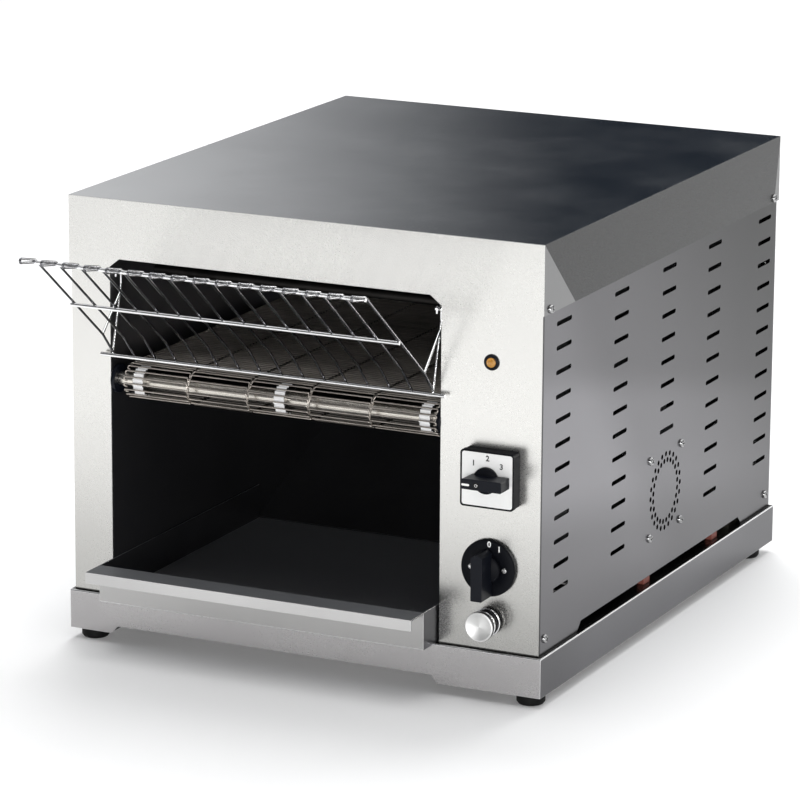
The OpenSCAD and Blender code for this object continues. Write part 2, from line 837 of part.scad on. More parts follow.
module motor_bracket() {
    x1 = bracket_x + sheet;
    y0 = motor_y - bracket_half;
    y1 = motor_y + bracket_half;
    place() color(steel) difference() {
        union() {
            block([bracket_x, y0, base_top], [x1, y1, motor_z + bracket_top]);
            block([bracket_x, y0, base_top], [bracket_x + bracket_foot, y1, base_top + sheet]);
        }
        rod_x(motor_shaft_d + 6, bracket_x - 1, x1 + 1, motor_y, motor_z);
    }
}

// ---- fan -----------------------------------------------------------------------------------

module fan_frame() {
    half = fan_size / 2;
    place() color(black) difference() {
        union() {
            difference() {
                block([fan_x0, slot_middle - half, fan_z - half], [fan_x1, slot_middle + half, fan_z + half]);
                rod_x(fan_hole_d, fan_x0 - 1, fan_x1 + 1, slot_middle, fan_z);
            }
            rod_x(fan_hub_d, fan_x0, fan_x0 + 4, slot_middle, fan_z);
            for (a = [45 : 90 : 315]) translate([fan_x0, slot_middle, fan_z]) rotate([a, 0, 0])
                translate([0, -2, fan_hub_d / 2 - 1]) cube([3, 4, fan_hole_d / 2 - fan_hub_d / 2 + 2]);
            rod_x(fan_pin_d, fan_x0, fan_x1 - 5, slot_middle, fan_z);
        }
        for (y = [-1, 1], z = [-1, 1])
            rod_x(fan_screw_d + 2 * hole_gap, fan_x0 - 1, fan_x1 + 1,
                  slot_middle + y * fan_pitch / 2, fan_z + z * fan_pitch / 2);
    }
}

module fan_rotor() {
    blade_r = fan_hole_d / 2 - 1.5;
    place() color([0.12, 0.12, 0.13]) difference() {
        union() {
            rod_x(fan_hub_d, fan_x0 + 5, fan_x1 - 2, slot_middle, fan_z);
            for (i = [0 : 6]) translate([(fan_x0 + fan_x1) / 2 + 1.5, slot_middle, fan_z])
                rotate([i * 360 / 7, 0, 0]) translate([0, 0, fan_hub_d / 2 - 1]) rotate([0, 0, 38])
                    translate([-0.7, -11, 0]) cube([1.4, 22, blade_r - fan_hub_d / 2 - 1]);
        }
        rod_x(fan_pin_d + 2 * run_fit, fan_x0, fan_x1 - 4.7, slot_middle, fan_z);
    }
}

module fan_screws() {
    place() color(steel) for (y = [-1, 1], z = [-1, 1])
        translate([panel_x, slot_middle + y * fan_pitch / 2, fan_z + z * fan_pitch / 2])
            face_x(1) pan_screw(fan_screw_d, head_d, head_h, fan_t + sheet - 1);
}

// ---- front controls ------------------------------------------------------------------------

module lamp_bezel() {
    place() color(black) translate([control_x, panel_y, lamp_z]) face_front() difference() {
        union() {
            cylinder(d1 = lamp_d, d2 = lamp_d - 2, h = 2);
            translate([0, 0, -22]) cylinder(d = lamp_d - 4, h = 22.5);
        }
        translate([0, 0, -14]) cylinder(d = lamp_d - 5.5, h = 20);
    }
}

module lamp_lens() {
    place() color([0.95, 0.6, 0.15]) translate([control_x, panel_y, lamp_z]) face_front() {
        translate([0, 0, -13]) cylinder(d = lamp_d - 5.5, h = 15);
        translate([0, 0, 2]) cylinder(d1 = lamp_d - 5.5, d2 = lamp_d - 8, h = 1);
    }
}

module selector_frame() {
    half = selector_size / 2;
    inner = half - label_frame;
    depth = selector_out + panel_y;
    place() color(black) translate([selector_x, panel_y, selector_z]) face_front() difference() {
        block([-half, -half, 0], [half, half, depth]);
        block([-inner, -inner, depth - 1.2], [inner, inner, depth + 1]);
        translate([0, 0, -1]) cylinder(d = spindle_d + 2 * run_fit, h = depth + 2);
    }
}

module selector_label() {
    inner = selector_size / 2 - label_frame - 0.2;
    z0 = selector_out + panel_y - 1.2;
    place() color([0.95, 0.95, 0.94]) translate([selector_x, panel_y, selector_z]) face_front()
        difference() {
            block([-inner, -inner, z0], [inner, inner, z0 + label_t]);
            translate([0, 0, z0 - 1]) cylinder(d = spindle_d + 3, h = 3);
        }
}

module selector_switch() {
    half = selector_box / 2;
    y0 = panel_y + sheet;
    place() color([0.13, 0.13, 0.14]) difference() {
        block([selector_x - half, y0, selector_z - half],
              [selector_x + half, y0 + selector_depth, selector_z + half]);
        rod_y(spindle_d + 2 * run_fit, y0 - 1, y0 + 10.5, selector_x, selector_z);
    }
}

// The bar stands across the hub and points to the left at rest; its tail is longer than its nose is
module selector_handle() {
    y1 = -selector_out - 0.3;
    middle = [selector_x + selector_shift, 0, selector_z];
    half = [selector_len / 2, 0, selector_bar / 2];
    place() color(black) {
        rod_y(spindle_d, y1 - 1, panel_y + sheet + 10, selector_x, selector_z);
        rod_y(selector_hub, y1 - 4, y1, selector_x, selector_z);
        block(middle - half + [0, -selector_out - selector_grip, 0], middle + half + [0, y1 - 1, 0]);
    }
}

module power_plate() {
    place() color(black) translate([control_x, panel_y, power_z]) face_front() difference() {
        union() {
            cylinder(d = power_d, h = power_out + panel_y - 0.8);
            translate([0, 0, power_out + panel_y - 0.8]) cylinder(d1 = power_d, d2 = power_d - 1.6, h = 0.8);
        }
        translate([0, 0, -1]) cylinder(d = spindle_d + 2 * run_fit, h = 12);
        for (s = [-1, 1]) translate([s * power_screw_x, 0, -1]) cylinder(d = 3.2, h = 12);
    }
}

module power_screws() {
    place() color(steel) for (s = [-1, 1])
        translate([control_x + s * power_screw_x, -power_out, power_z])
            face_front() pan_screw(3, 5, 1.2, 9);
}

module power_switch() {
    half = power_box / 2;
    y0 = panel_y + sheet;
    place() color([0.13, 0.13, 0.14]) difference() {
        block([control_x - half, y0, power_z - half], [control_x + half, y0 + power_depth, power_z + half]);
        rod_y(spindle_d + 2 * run_fit, y0 - 1, y0 + 10.5, control_x, power_z);
        for (s = [-1, 1]) rod_y(3.2, y0 - 1, y0 + 8, control_x + s * power_screw_x, power_z);
    }
}

// The bar stands upright at rest and points to the 0
module power_handle() {
    y1 = -power_out - 0.3;
    bar = 5.2;
    place() color(black) {
        rod_y(spindle_d, y1 - 1, panel_y + sheet + 10, control_x, power_z);
        rod_y(25, y1 - 4, y1, control_x, power_z);
        translate([control_x, y1 - 1, power_z]) face_front()
            linear_extrude(power_grip - power_out - 1.3) polygon([
                [-bar, -23.6], [bar, -23.6], [bar, 15], [0, 17.6], [-bar, 15]
            ]);
    }
}

module speed_control() {
    y0 = panel_y + sheet;
    place() color([0.3, 0.3, 0.32]) difference() {
        union() {
            rod_y(24, y0, y0 + 14, control_x, knob_z);
            rod_y(7.9, panel_y - 2.5, y0 + 1, control_x, knob_z);
        }
        rod_y(knob_spindle_d + 2 * run_fit, panel_y - 4, y0 + 10.5, control_x, knob_z);
    }
}

module speed_knob() {
    place() color(black) difference() {
        union() {
            rod_y(knob_d - 3, 4 - knob_len, panel_y - 0.5, control_x, knob_z);
            rod_y(knob_d - 1, 6.5 - knob_len, 8 - knob_len, control_x, knob_z);
            rod_y(knob_d - 1, -4, -2.5, control_x, knob_z);
            rod_y(knob_spindle_d, 4 - knob_len, panel_y + sheet + 10, control_x, knob_z);
        }
        difference() {
            rod_y(10, -2, panel_y, control_x, knob_z);
            rod_y(knob_spindle_d, -3, panel_y + 1, control_x, knob_z);
        }
    }
}

module speed_knob_cap() {
    place() color([0.85, 0.85, 0.86]) translate([control_x, 4 - knob_len, knob_z]) face_front() {
        cylinder(d = knob_d, h = 3.3);
        translate([0, 0, 3.3]) cylinder(d1 = knob_d, d2 = knob_d - 1.2, h = 0.7);
    }
}

// ---- tray and rack -------------------------------------------------------------------------

module toast_tray() {
    t = 1;
    x0 = open_x0 + tray_gap;
    x1 = open_x1 - tray_gap;
    z0 = tray_floor_z;
    z1 = z0 + tray_h;
    front = -tray_out;
    path = [[front + t / 2, z0], [front + t / 2, z1 - t / 2], [front - lip_d + t, z1 - t / 2],
            [front - lip_d + t, z1 - lip_drop]];
    place() color(steel) {
        block([x0, front, z0], [x1, tray_back, z0 + t]);
        for (x = [x0, x1 - t]) block([x, front, z0], [x + t, tray_back, z1]);
        along_x(x0, x1) polygon(strip(path, t));
    }
}

function rack_side(p) = p + [0.6, 0.8] * (wire_d + rail_d - 0.7) / 2;

module feed_rack() {
    path = [for (p = [rack_bottom, rack_bend, rack_middle, rack_top]) rack_side(p)];
    lip = concat(path, [rack_lip, rack_lip + [-0.3, -4.2], rack_top + [-3, 0.3]]);
    leg = [rack_bottom, rack_knee, [leg_y, hook_z], [hook_y, hook_z], [hook_y, hook_z - hook_tip]];
    brace = [rack_side(rack_bend), brace_end];
    rail_half = rack_spread / 2 + 1.5;
    place() color(steel) {
        for (i = [0 : rack_wires - 1]) {
            x = open_mid - rack_spread / 2 + i * rack_step;
            along_x(x - wire_d / 2, x + wire_d / 2) polygon(strip(lip, wire_d));
        }
        for (p = [rack_middle, rack_top]) rod_x(rail_d, open_mid - rail_half, open_mid + rail_half, p[0], p[1]);
        rod_x(rail_d, open_mid - rail_half - 10, open_mid + rail_half + 10, rack_bottom[0], rack_bottom[1]);
        for (s = [-1, 1]) {
            x = open_mid + s * rack_spread / 2;
            along_x(x - wire_d / 2, x + wire_d / 2) polygon(strip(leg, wire_d));
            along_x(x - wire_d / 2, x + wire_d / 2) polygon(strip(brace, wire_d));
        }
    }
}

module rack_studs() {
    place() color(steel) {
        rod_x(stud_d, open_x0, open_x0 + stud_len, stud_y, stud_z);
        rod_x(stud_d, open_x1 - stud_len, open_x1, stud_y, stud_z);
    }
}

// ---- wiring parts --------------------------------------------------------------------------

module terminal_block() {
    place() color([0.9, 0.88, 0.8]) difference() {
        block([control_x - 30, panel_back - 60, base_top], [control_x + 30, panel_back - 38, base_top + 20]);
        for (i = [0 : 4]) rod_z(5, base_top + 12, base_top + 21, control_x - 22 + 11 * i, panel_back - 49);
    }
}

module cable_gland() {
    y1 = panel_back;
    place() color(black) difference() {
        union() {
            rod_y(16, y1 - sheet - 8, y1 + 1, control_x, base_top + 40);
            translate([control_x, y1, base_top + 40]) face_back() cylinder(d = 24, h = 5, $fn = 6);
            rod_y(20, y1 + 4, y1 + gland_reach, control_x, base_top + 40);
        }
        rod_y(gland_bore, y1 - sheet - 9, y1 + gland_reach + 1, control_x, base_top + 40);
    }
}

module wire_clips() {
    inner = panel_x - sheet;
    place() color([0.6, 0.3, 0.27]) for (y = clip_y)
        block([inner - clip_side - clip_w, y - clip_len / 2, base_top],
              [inner - clip_side, y + clip_len / 2, base_top + clip_h]);
}

// ---- screws --------------------------------------------------------------------------------

module side_screws(x, z) {
    for (p = side_places) translate([p[0] * x, p[1], z])
        face_x(p[0]) pan_screw(screw_d, head_d, head_h, 7);
}

module cover_screws() {
    place() color(steel) side_screws(body_w / 2, screw_cover_z);
}

module base_screws() {
    place() color(steel) side_screws(panel_x, screw_base_z);
}

module rear_screws() {
    place() color(steel) for (p = rear_places) translate([p[0], panel_back, p[1]])
        face_back() pan_screw(screw_d, head_d, head_h, 5);
}

base_frame();
feet();
foot_nuts();
side_panel_left();
side_panel_right();
top_cover();
front_post();
control_panel();
rear_panel();
chamber_wall_left();
chamber_wall_right();
chamber_ceiling();
toast_chute();
heat_shield();
upper_heaters();
lower_heaters();
heater_collars();
shaft_bushes();
front_shaft();
front_sprockets();
rear_shaft();
rear_sprockets();
wire_belt();
chain_sprocket();
motor_sprocket();
drive_chain();
gearbox();
motor();
motor_bracket();
fan_frame();
fan_rotor();
fan_screws();
lamp_bezel();
lamp_lens();
selector_frame();
selector_label();
selector_switch();
selector_handle();
power_plate();
power_screws();
power_switch();
power_handle();
speed_control();
speed_knob();
speed_knob_cap();
toast_tray();
feed_rack();
rack_studs();
terminal_block();
cable_gland();
wire_clips();
cover_screws();
base_screws();
rear_screws();
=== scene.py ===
# %% [markdown]
# # Conveyor toaster
# A box of brushed stainless sheet with a wire belt inside. Bread is laid on the sloping wire rack,
# rides between the heaters and drops on to a tray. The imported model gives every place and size, so
# the first cell loads it and measures it. The toaster's own lengths are typed in millimetres, with X
# to the right, Y to the back from the lid's front face, and Z up from the table. The studio's places
# and those in a finish are in metres, as Blender's coordinates are.

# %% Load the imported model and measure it
import math
import bpy
import bmesh
from mathutils import Matrix, Vector


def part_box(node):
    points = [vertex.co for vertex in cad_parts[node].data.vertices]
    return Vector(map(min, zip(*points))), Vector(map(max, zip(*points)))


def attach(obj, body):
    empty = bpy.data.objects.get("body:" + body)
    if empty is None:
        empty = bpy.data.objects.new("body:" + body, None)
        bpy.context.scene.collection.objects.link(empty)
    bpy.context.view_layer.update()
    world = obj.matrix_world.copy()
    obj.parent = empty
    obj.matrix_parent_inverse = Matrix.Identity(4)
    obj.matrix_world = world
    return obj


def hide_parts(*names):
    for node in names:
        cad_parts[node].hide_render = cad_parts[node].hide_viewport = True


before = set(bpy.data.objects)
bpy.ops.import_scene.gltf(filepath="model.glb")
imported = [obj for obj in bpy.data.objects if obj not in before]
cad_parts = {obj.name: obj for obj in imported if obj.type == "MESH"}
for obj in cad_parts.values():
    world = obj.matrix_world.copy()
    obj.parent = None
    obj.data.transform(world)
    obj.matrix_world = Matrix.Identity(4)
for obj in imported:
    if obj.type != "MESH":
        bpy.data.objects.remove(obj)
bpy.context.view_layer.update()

lid_low, lid_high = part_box("top_cover")
lid_front = lid_low.y
half, deep, top = (round(v * 1000, 1) for v in (lid_high.x, lid_high.y - lid_front, lid_high.z))


def at(x, y, z):
    """A point of the toaster, from millimetres to Blender's metres."""
    return Vector((x / 1000, y / 1000 + lid_front, z / 1000))


print("lid, mm:", 2 * half, "wide,", deep, "deep,", top, "high")

# %% [markdown]
# ## Camera
# The toaster is seen from its right front corner, from a little above and from four metres away with
# a long lens, which keeps upright edges almost parallel. The matrix is written out from an azimuth,
# an elevation and a slight roll, so the view is exact and doesn't depend on a target object.

# %% Camera
scene = bpy.context.scene


def placed(name, data):
    """A new object in the scene, for a mesh, a lamp or a camera."""
    item = bpy.data.objects.new(name, data)
    scene.collection.objects.link(item)
    return item


azimuth, elevation, roll = math.radians(-25.784), math.radians(14.300), math.radians(0.330)
ahead = Vector((math.sin(azimuth) * math.cos(elevation), math.cos(azimuth) * math.cos(elevation),
                -math.sin(elevation)))
level = Vector((math.cos(azimuth), -math.sin(azimuth), 0))
upward = level.cross(ahead)
right = math.cos(roll) * level + math.sin(roll) * upward
above = -math.sin(roll) * level + math.cos(roll) * upward
lens = bpy.data.cameras.new("studio_camera")
lens.lens, lens.sensor_width, lens.clip_end = 197.01, 36, 200
camera = placed("studio_camera", lens)
camera.matrix_world = Matrix.Translation((1.6616, -3.4400, 1.1745)) @ Matrix(
    (right, above, -ahead)).transposed().to_4x4()
bpy.context.scene.camera = camera
print("camera stands at", tuple(round(v, 3) for v in camera.location))

# %% [markdown]
# ## Studio
# Brushed steel shows its surroundings more than its own colour, so the studio is half of the finish.
# The floor is pale and very wide, because the front mirrors the floor before it. The lid mirrors the
# low wall behind the toaster, which fades from light on the left to dark on the right. Four soft boxes
# light it: the strongest stands high behind it, one hangs over its front, one stands low beside the
# camera, and the weakest brightens the edges from behind on the right.

# %% Node helpers, floor and surroundings


def connect(tree, node, inputs):
    """Fills a node's inputs, each with a link from a socket or with a plain value."""
    for key, value in inputs.items():
        if isinstance(value, bpy.types.NodeSocket):
            tree.links.new(value, node.inputs[key])
        else:
            node.inputs[key].default_value = value


def grow(tree, kind, inputs=None, **settings):
    """Adds a node."""
    node = tree.nodes.new(kind)
    for key, value in settings.items():
        setattr(node, key, value)
    connect(tree, node, inputs or {})
    return node


def made(tree, kind, inputs=None, **settings):
    """Adds a node and gives its first output."""
    return grow(tree, kind, inputs, **settings).outputs[0]


def sums(tree, operation, *values):
    """One step of arithmetic on sockets or numbers."""
    return made(tree, "ShaderNodeMath", dict(enumerate(values)), operation=operation)


def span(tree, value, low, high, to_low=0.0, to_high=1.0):
    """Takes a value smoothly from between two limits to between two others."""
    return made(tree, "ShaderNodeMapRange", {
        "Value": value, "From Min": low, "From Max": high, "To Min": to_low, "To Max": to_high},
        interpolation_type="SMOOTHSTEP")


def two_tones(tree, factor, first, second):
    """A colour between two, of which the first may come from a socket."""
    first = (*first, 1) if isinstance(first, (tuple, list)) else first
    return grow(tree, "ShaderNodeMix", {0: factor, 6: first, 7: (*second, 1)}, data_type="RGBA").outputs[2]


def own_place(tree):
    """A point's place on its own piece."""
    return grow(tree, "ShaderNodeTexCoord").outputs["Object"]


def parts_of(tree, vector):
    """The three numbers of a vector."""
    return grow(tree, "ShaderNodeSeparateXYZ", {0: vector}).outputs


def surface(name):
    """A new material, with its tree and its shader."""
    material = bpy.data.materials.new(name)
    material.use_nodes = True
    return material, material.node_tree, material.node_tree.nodes["Principled BSDF"]


scene.view_settings.view_transform = "Standard"
scene.world = bpy.data.worlds.new("studio")
scene.world.use_nodes = True
sky = scene.world.node_tree
looking = parts_of(sky, grow(sky, "ShaderNodeTexCoord").outputs["Generated"])
bearing = sums(sky, "ARCTAN2", looking[0], looking[1])
dark_wall = sums(sky, "MULTIPLY", span(sky, bearing, -0.552, -0.402), span(sky, bearing, 1.1, 0.6))
dark_wall = sums(sky, "MULTIPLY", dark_wall, span(sky, looking[2], 0.36, 0.26))
behind_us = span(sky, sums(sky, "ABSOLUTE", bearing), 1.6, 2.3)
paper = two_tones(sky, behind_us, (0.74, 0.75, 0.76), (0.10, 0.10, 0.105))
connect(sky, sky.nodes["Background"], {"Color": two_tones(sky, dark_wall, paper, (0.016, 0.022, 0.031))})

floor_mesh = bpy.data.meshes.new("studio_floor")
floor_mesh.from_pydata([(-60, -60, 0), (60, -60, 0), (60, 60, 0), (-60, 60, 0)], [], [(0, 1, 2, 3)])
floor_paint, tree, shader = surface("floor_paint")
cloudy = made(tree, "ShaderNodeTexNoise", {"Vector": own_place(tree), "Scale": 1.5, "Detail": 3.0})
connect(tree, shader, {
    "Base Color": two_tones(tree, cloudy, (0.93, 0.93, 0.93), (0.96, 0.96, 0.96)), "Roughness": 0.9,
    "Specular IOR Level": 0.1, "Emission Color": (1, 1, 1, 1), "Emission Strength": 0.08})
floor_mesh.materials.append(floor_paint)
placed("studio_floor", floor_mesh)


def soft_box(name, place, aim, size, power):
    """A square soft light that looks at a point."""
    lamp = bpy.data.lights.new(name, "AREA")
    lamp.size, lamp.energy = size, power
    light = placed(name, lamp)
    light.location = place
    light.rotation_euler = (Vector(aim) - Vector(place)).to_track_quat("-Z", "Y").to_euler()


soft_box("key_light", (-0.5, 2.2, 4.6), (0, 0, 0.2), 2.4, 130)
soft_box("top_light", (0.2, -1.2, 4.4), (0, -0.3, 0), 2.6, 56)
soft_box("front_light", (1.5, -3.9, 0.55), (0.1, 0, 0.25), 1.0, 70)
soft_box("rim_light", (1.6, 4.6, 2.9), (0, 0, 0.4), 1.6, 30)
print("studio: 1 floor, 4 soft boxes, surroundings with a dark wall behind")

# %% [markdown]
# ## Finishes
# Brushed stainless sheet is ground along one direction. The grain is a noise that is stretched along
# the brushing: it changes the shine and lifts the surface a few hundredths of a millimetre. A second,
# wide noise stands for the faint clouds that handling leaves. An image of brushed steel would repeat
# and stretch; noise on Object coordinates doesn't. Large sheets also carry painted reflection and
# shade: fades darken their colour from place to place, for the parts of a room that they mirror and
# the shade near the table, and thin dark fades paint the shadow in the gaps between sheets.

# %% Brushed sheet and other finishes


def grain(tree, along, fine, long):
    """A streaky noise along X or Y, on the piece's own coordinates."""
    scale = {"X": (long, fine, fine), "Y": (fine, long, fine)}[along]
    place = made(tree, "ShaderNodeMapping", {"Vector": own_place(tree), "Scale": scale})
    return made(tree, "ShaderNodeTexNoise", {"Vector": place, "Scale": 1.0, "Detail": 4.0, "Roughness": 0.6})


def relief(tree, height, lift):
    """The tilt of a surface that a pattern lifts by so many millimetres."""
    return made(tree, "ShaderNodeBump", {"Strength": 1.0, "Distance": lift / 1000, "Height": height})


def finish_of(name, colour, metal, rough, fine, long, tone=0.06, lift=0.02, coat=0.0, gloss=0.5, fades=()):
    """One finish: streaks or speckle in colour, shine and height, with wide faint clouds. A grey is
    one number.

    Each fade (way, start, end, share) takes the colour to a share of itself between two places on
    that way, which is an axis's number or a direction."""
    material, tree, shader = surface(name)
    streaks = grain(tree, "X", fine, long)
    mixed = sums(tree, "MULTIPLY", sums(tree, "ADD", streaks, grain(tree, "X", 9, 9)), 0.5)
    colour = colour if isinstance(colour, tuple) else (colour,) * 3
    low = [c * (1 - tone) for c in colour]
    high = [min(c * (1 + tone), 1.0) for c in colour]
    shade = two_tones(tree, span(tree, mixed, 0.3, 0.7), low, high)
    # Fades paint reflection and shade into the colour, darkening it from one place to another.
    for way, start, end, share in fades:
        way = [float(way == k) for k in range(3)] if isinstance(way, int) else way
        along_way = grow(tree, "ShaderNodeVectorMath", {0: own_place(tree), 1: way}, operation="DOT_PRODUCT")
        share = span(tree, along_way.outputs["Value"], start, end, 1.0, share)
        shade = made(tree, "ShaderNodeVectorMath", {0: shade, 3: share}, operation="SCALE")
    connect(tree, shader, {
        "Base Color": shade, "Roughness": span(tree, mixed, 0.3, 0.7, rough - 0.05, rough + 0.05),
        "Normal": relief(tree, streaks, lift), "Metallic": metal, "Coat Weight": coat,
        "Specular IOR Level": gloss})
    return material


def sheet(name, colour, rough, lift=0.012, metal=1, **more):
    """A finish with the grain of the case's brushed sheet."""
    return finish_of("steel_" + name, colour, metal, rough, 1500, 500, lift=lift, **more)


# Painted shadow: these two thin fades darken the sheets within a millimetre of the plinth's and the column's
# joints.
plinth_gap_shade = (2, 0.0474, 0.0467)
column_gap_shade = (1, lid_front + 0.0048, lid_front + 0.0042)
# Painted shade: the front sheets darken towards the table, and by a few per cent above 200 mm.
steel_front = sheet("brushed_front", (0.85, 0.84, 0.81), 0.26, 0.015, tone=0.05,
                    fades=((2, 0.26, 0.04, 0.56), (2, 0.15, 0.20, 0.97), (*plinth_gap_shade, 0.15)))
# Painted reflection: the plinth, its sides and the side panels darken in slopes and bands for the parts of
# the room that they mirror.
steel_plinth = sheet("brushed_plinth", (0.50, 0.487, 0.49), 0.26, 0.015, fades=((0, -0.10, -0.22, 0.82),))
steel_side = sheet("brushed_side", (0.152, 0.151, 0.160), 0.20,
                   fades=((1, 0.10, 0.34, 0.55), (1, -0.07, -0.19, 0.70)))
steel_panel = sheet("brushed_panel", (0.219, 0.215, 0.227), 0.20,
                    fades=(((0, 0.216, 0.976), 0.216, 0.255, 0.645), ((0, 0.695, 0.719), 0.139, 0.476, 0.074),
                           ((0, 0.771, 0.637), 0.066, 0.145, 0.712), ((0, 0.181, 0.984), 0.161, 0.100, 0.611),
                           (*column_gap_shade, 0.12), (*plinth_gap_shade, 0.2)))
steel_back = sheet("brushed_back", (0.30, 0.30, 0.31), 0.24)
# Painted reflection and shade: the tray darkens to the left, and its lip's top, the wall under the lip and
# its inside are darker copies of its sheet.
steel_tray = sheet("tray", (0.60, 0.595, 0.59), 0.17, 0.010, 0.95, fades=((0, -0.06, -0.17, 0.86),))
steel_lip = sheet("tray_lip_top", (0.32, 0.315, 0.31), 0.20, 0.010, 0.95)
steel_wall = sheet("tray_front_wall", (0.42, 0.415, 0.41), 0.20, 0.010, 0.95)
steel_inside = sheet("tray_inside", (0.36, 0.37, 0.39), 0.34, 0.010, 0.60)
# Painted shade: the chamber's sheets, the chute, the tray's ends and the lid's underside are painted dark for
# the shade inside the case.
steel_shade_dark = sheet("chamber", (0.14, 0.14, 0.15), 0.32, 0.02, 0.90, tone=0.12)
steel_top = finish_of("steel_brushed_top", (0.62, 0.62, 0.63), 1, 0.11, 1500, 600, lift=0.012)
# Painted shadow: the chamber's ceiling and the heat shield are painted nearly black for the shadow under the
# lid.
steel_shadow_black = finish_of("steel_heat_blackened", (0.035, 0.035, 0.038), 1, 0.40, 900, 300, 0.2)
# Painted highlight: the bright finish of the plinth's and the tray's rounded folds and edges.
steel_fold_highlight = finish_of("steel_rubbed_edge", 0.80, 1, 0.30, 900, 900)
# Painted shade: the dark cut edges of the front sheets.
steel_edge_shade = finish_of("steel_cut_edge", 0.10, 1, 0.40, 900, 900, 0.2)
steel_bright = finish_of("steel_polished_wire", 0.92, 1, 0.16, 300, 60, 0.10, 0.008)
# Painted reflection: the rack's wires are a dark copy of the bright wire, for the dark chamber that they
# mirror.
steel_wire_painted_dark = finish_of("steel_rack_wire", (0.17, 0.17, 0.18), 1, 0.09, 300, 300, 0.10, 0.004)
steel_screw = finish_of("steel_screw", 0.40, 1, 0.24, 600, 300, 0.12)
steel_plain = finish_of("steel_plain_zinc", (0.48, 0.48, 0.47), 1, 0.36, 300, 120, 0.12)
belt_steel = finish_of("belt_wire_heat_tinted", (0.47, 0.43, 0.39), 1, 0.36, 200, 30, 0.25)
# Painted shade: the belt's lower run, inside the dark chamber.
belt_shade = finish_of("belt_wire_lower_run", (0.12, 0.11, 0.10), 1, 0.40, 200, 30, 0.25)
sprocket_steel = finish_of("sprocket_bright", (0.96, 0.96, 0.97), 0.12, 0.34, 400, 200)
shaft_steel = finish_of("shaft_turned", (0.80, 0.76, 0.69), 1, 0.27, 900, 60, 0.12)
chain_steel = finish_of("chain_oiled", (0.16, 0.155, 0.15), 1, 0.32, 300, 200, 0.2)
heater_sheath = finish_of("heater_sheath_oxidised", (0.030, 0.028, 0.027), 1, 0.50, 220, 60, 0.3)
ceramic = finish_of("ceramic_glazed", (0.74, 0.71, 0.64), 0, 0.42, 150, 150, coat=0.2)
gear_case = finish_of("gear_case_cast", (0.42, 0.43, 0.45), 1, 0.48, 500, 500, lift=0.06)
motor_case = finish_of("motor_case_paint", (0.028, 0.028, 0.032), 0, 0.45, 600, 600, lift=0.04)
black_plastic = finish_of("plastic_black_moulded", (0.0030, 0.0035, 0.0055), 0, 0.50, 1800, 1800,
                          0.25, 0.018, gloss=0.10)
black_gloss = finish_of("plastic_black_gloss", (0.0045, 0.0055, 0.009), 0, 0.34, 900, 900,
                        0.25, 0.006, gloss=0.16)
rubber = finish_of("rubber_foot", 0.006, 0, 0.62, 1500, 1500, 0.3, 0.05, gloss=0.15)
label_white = finish_of("label_white", (0.86, 0.86, 0.85), 0, 0.40, 700, 700, 0.02, 0.003)
print_black = finish_of("print_black", 0.02, 0, 0.5, 900, 900, 0.2, 0.002)
print_white = finish_of("print_white", (0.88, 0.88, 0.87), 0, 0.5, 900, 900, 0.03, 0.002)
aluminium = finish_of("aluminium_turned", (0.86, 0.86, 0.87), 1, 0.24, 900, 900, lift=0.006)
cream = finish_of("plastic_cream", (0.72, 0.68, 0.55), 0, 0.45, 900, 900)
red_clip = finish_of("plastic_dull_red", (0.26, 0.075, 0.055), 0, 0.5, 900, 900)
print("finishes made:", len(bpy.data.materials))

# %% [markdown]
# ### Amber lens and the lid's side
# The lens is a clear amber plastic: it lets light through and has a wet-looking skin. The lid's folded
# side is ground in another direction from the side panel. It also carries a painted reflection: its
# middle band is painted darker than a sloping triangle at each end. One material holds both, divided by
# two sloping lines that are worked out from the piece's own coordinates.

# %% Lens and lid side
amber, tree, shader = surface("lens_amber")
tint = span(tree, grain(tree, "X", 500, 500), 0.3, 0.7)
connect(tree, shader, {"Base Color": two_tones(tree, tint, (0.60, 0.25, 0.03), (0.80, 0.40, 0.06)),
                       "Roughness": 0.12, "Transmission Weight": 0.35, "Coat Weight": 0.6, "IOR": 1.49})

steel_flange, tree, shader = surface("steel_lid_side")
place = parts_of(tree, own_place(tree))
below_top = sums(tree, "SUBTRACT", top / 1000, place[2])
# Painted reflection: the band between the two sloping lines is painted darker than the triangles at the ends.
flange_high, front_triangle, back_triangle = 61, 65, 12
band_masks = []
for inward, triangle_reach in ((sums(tree, "SUBTRACT", place[1], lid_front), front_triangle),
                     (sums(tree, "SUBTRACT", lid_high.y, place[1]), back_triangle)):
    beyond_triangle = sums(tree, "SUBTRACT", inward, sums(tree, "MULTIPLY", below_top, triangle_reach / flange_high))
    band_masks.append(span(tree, beyond_triangle, -4e-4, 4e-4))
dark_band = sums(tree, "MULTIPLY", *band_masks)
streaks = grain(tree, "Y", 1500, 500)
worn = span(tree, streaks, 0.3, 0.7, -0.01, 0.01)
shade = sums(tree, "ADD", span(tree, dark_band, 0, 1, 0.195, 0.036), worn)
connect(tree, shader, {"Base Color": two_tones(tree, shade, (0.0, 0.0, 0.0), (1.0, 1.0, 1.0)),
                       "Roughness": sums(tree, "ADD", span(tree, dark_band, 0, 1, 0.20, 0.27), worn),
                       "Normal": relief(tree, streaks, 0.02), "Metallic": 1})
print("lens and lid side made")

# %% [markdown]
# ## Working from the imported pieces
# Sheet parts already have the right shape in the model, but with knife-sharp edges. Real folds have a
# radius of about the sheet's thickness and cut edges a tiny burr-free break, and both catch the light.
# Each sheet is copied, its triangles are merged into flat faces, and a Bevel modifier rounds it: full
# width on the folds that are named, and a quarter of a millimetre on cut edges.

# %% Sheet helper
AXES = {"X": 0, "Y": 1, "Z": 2}


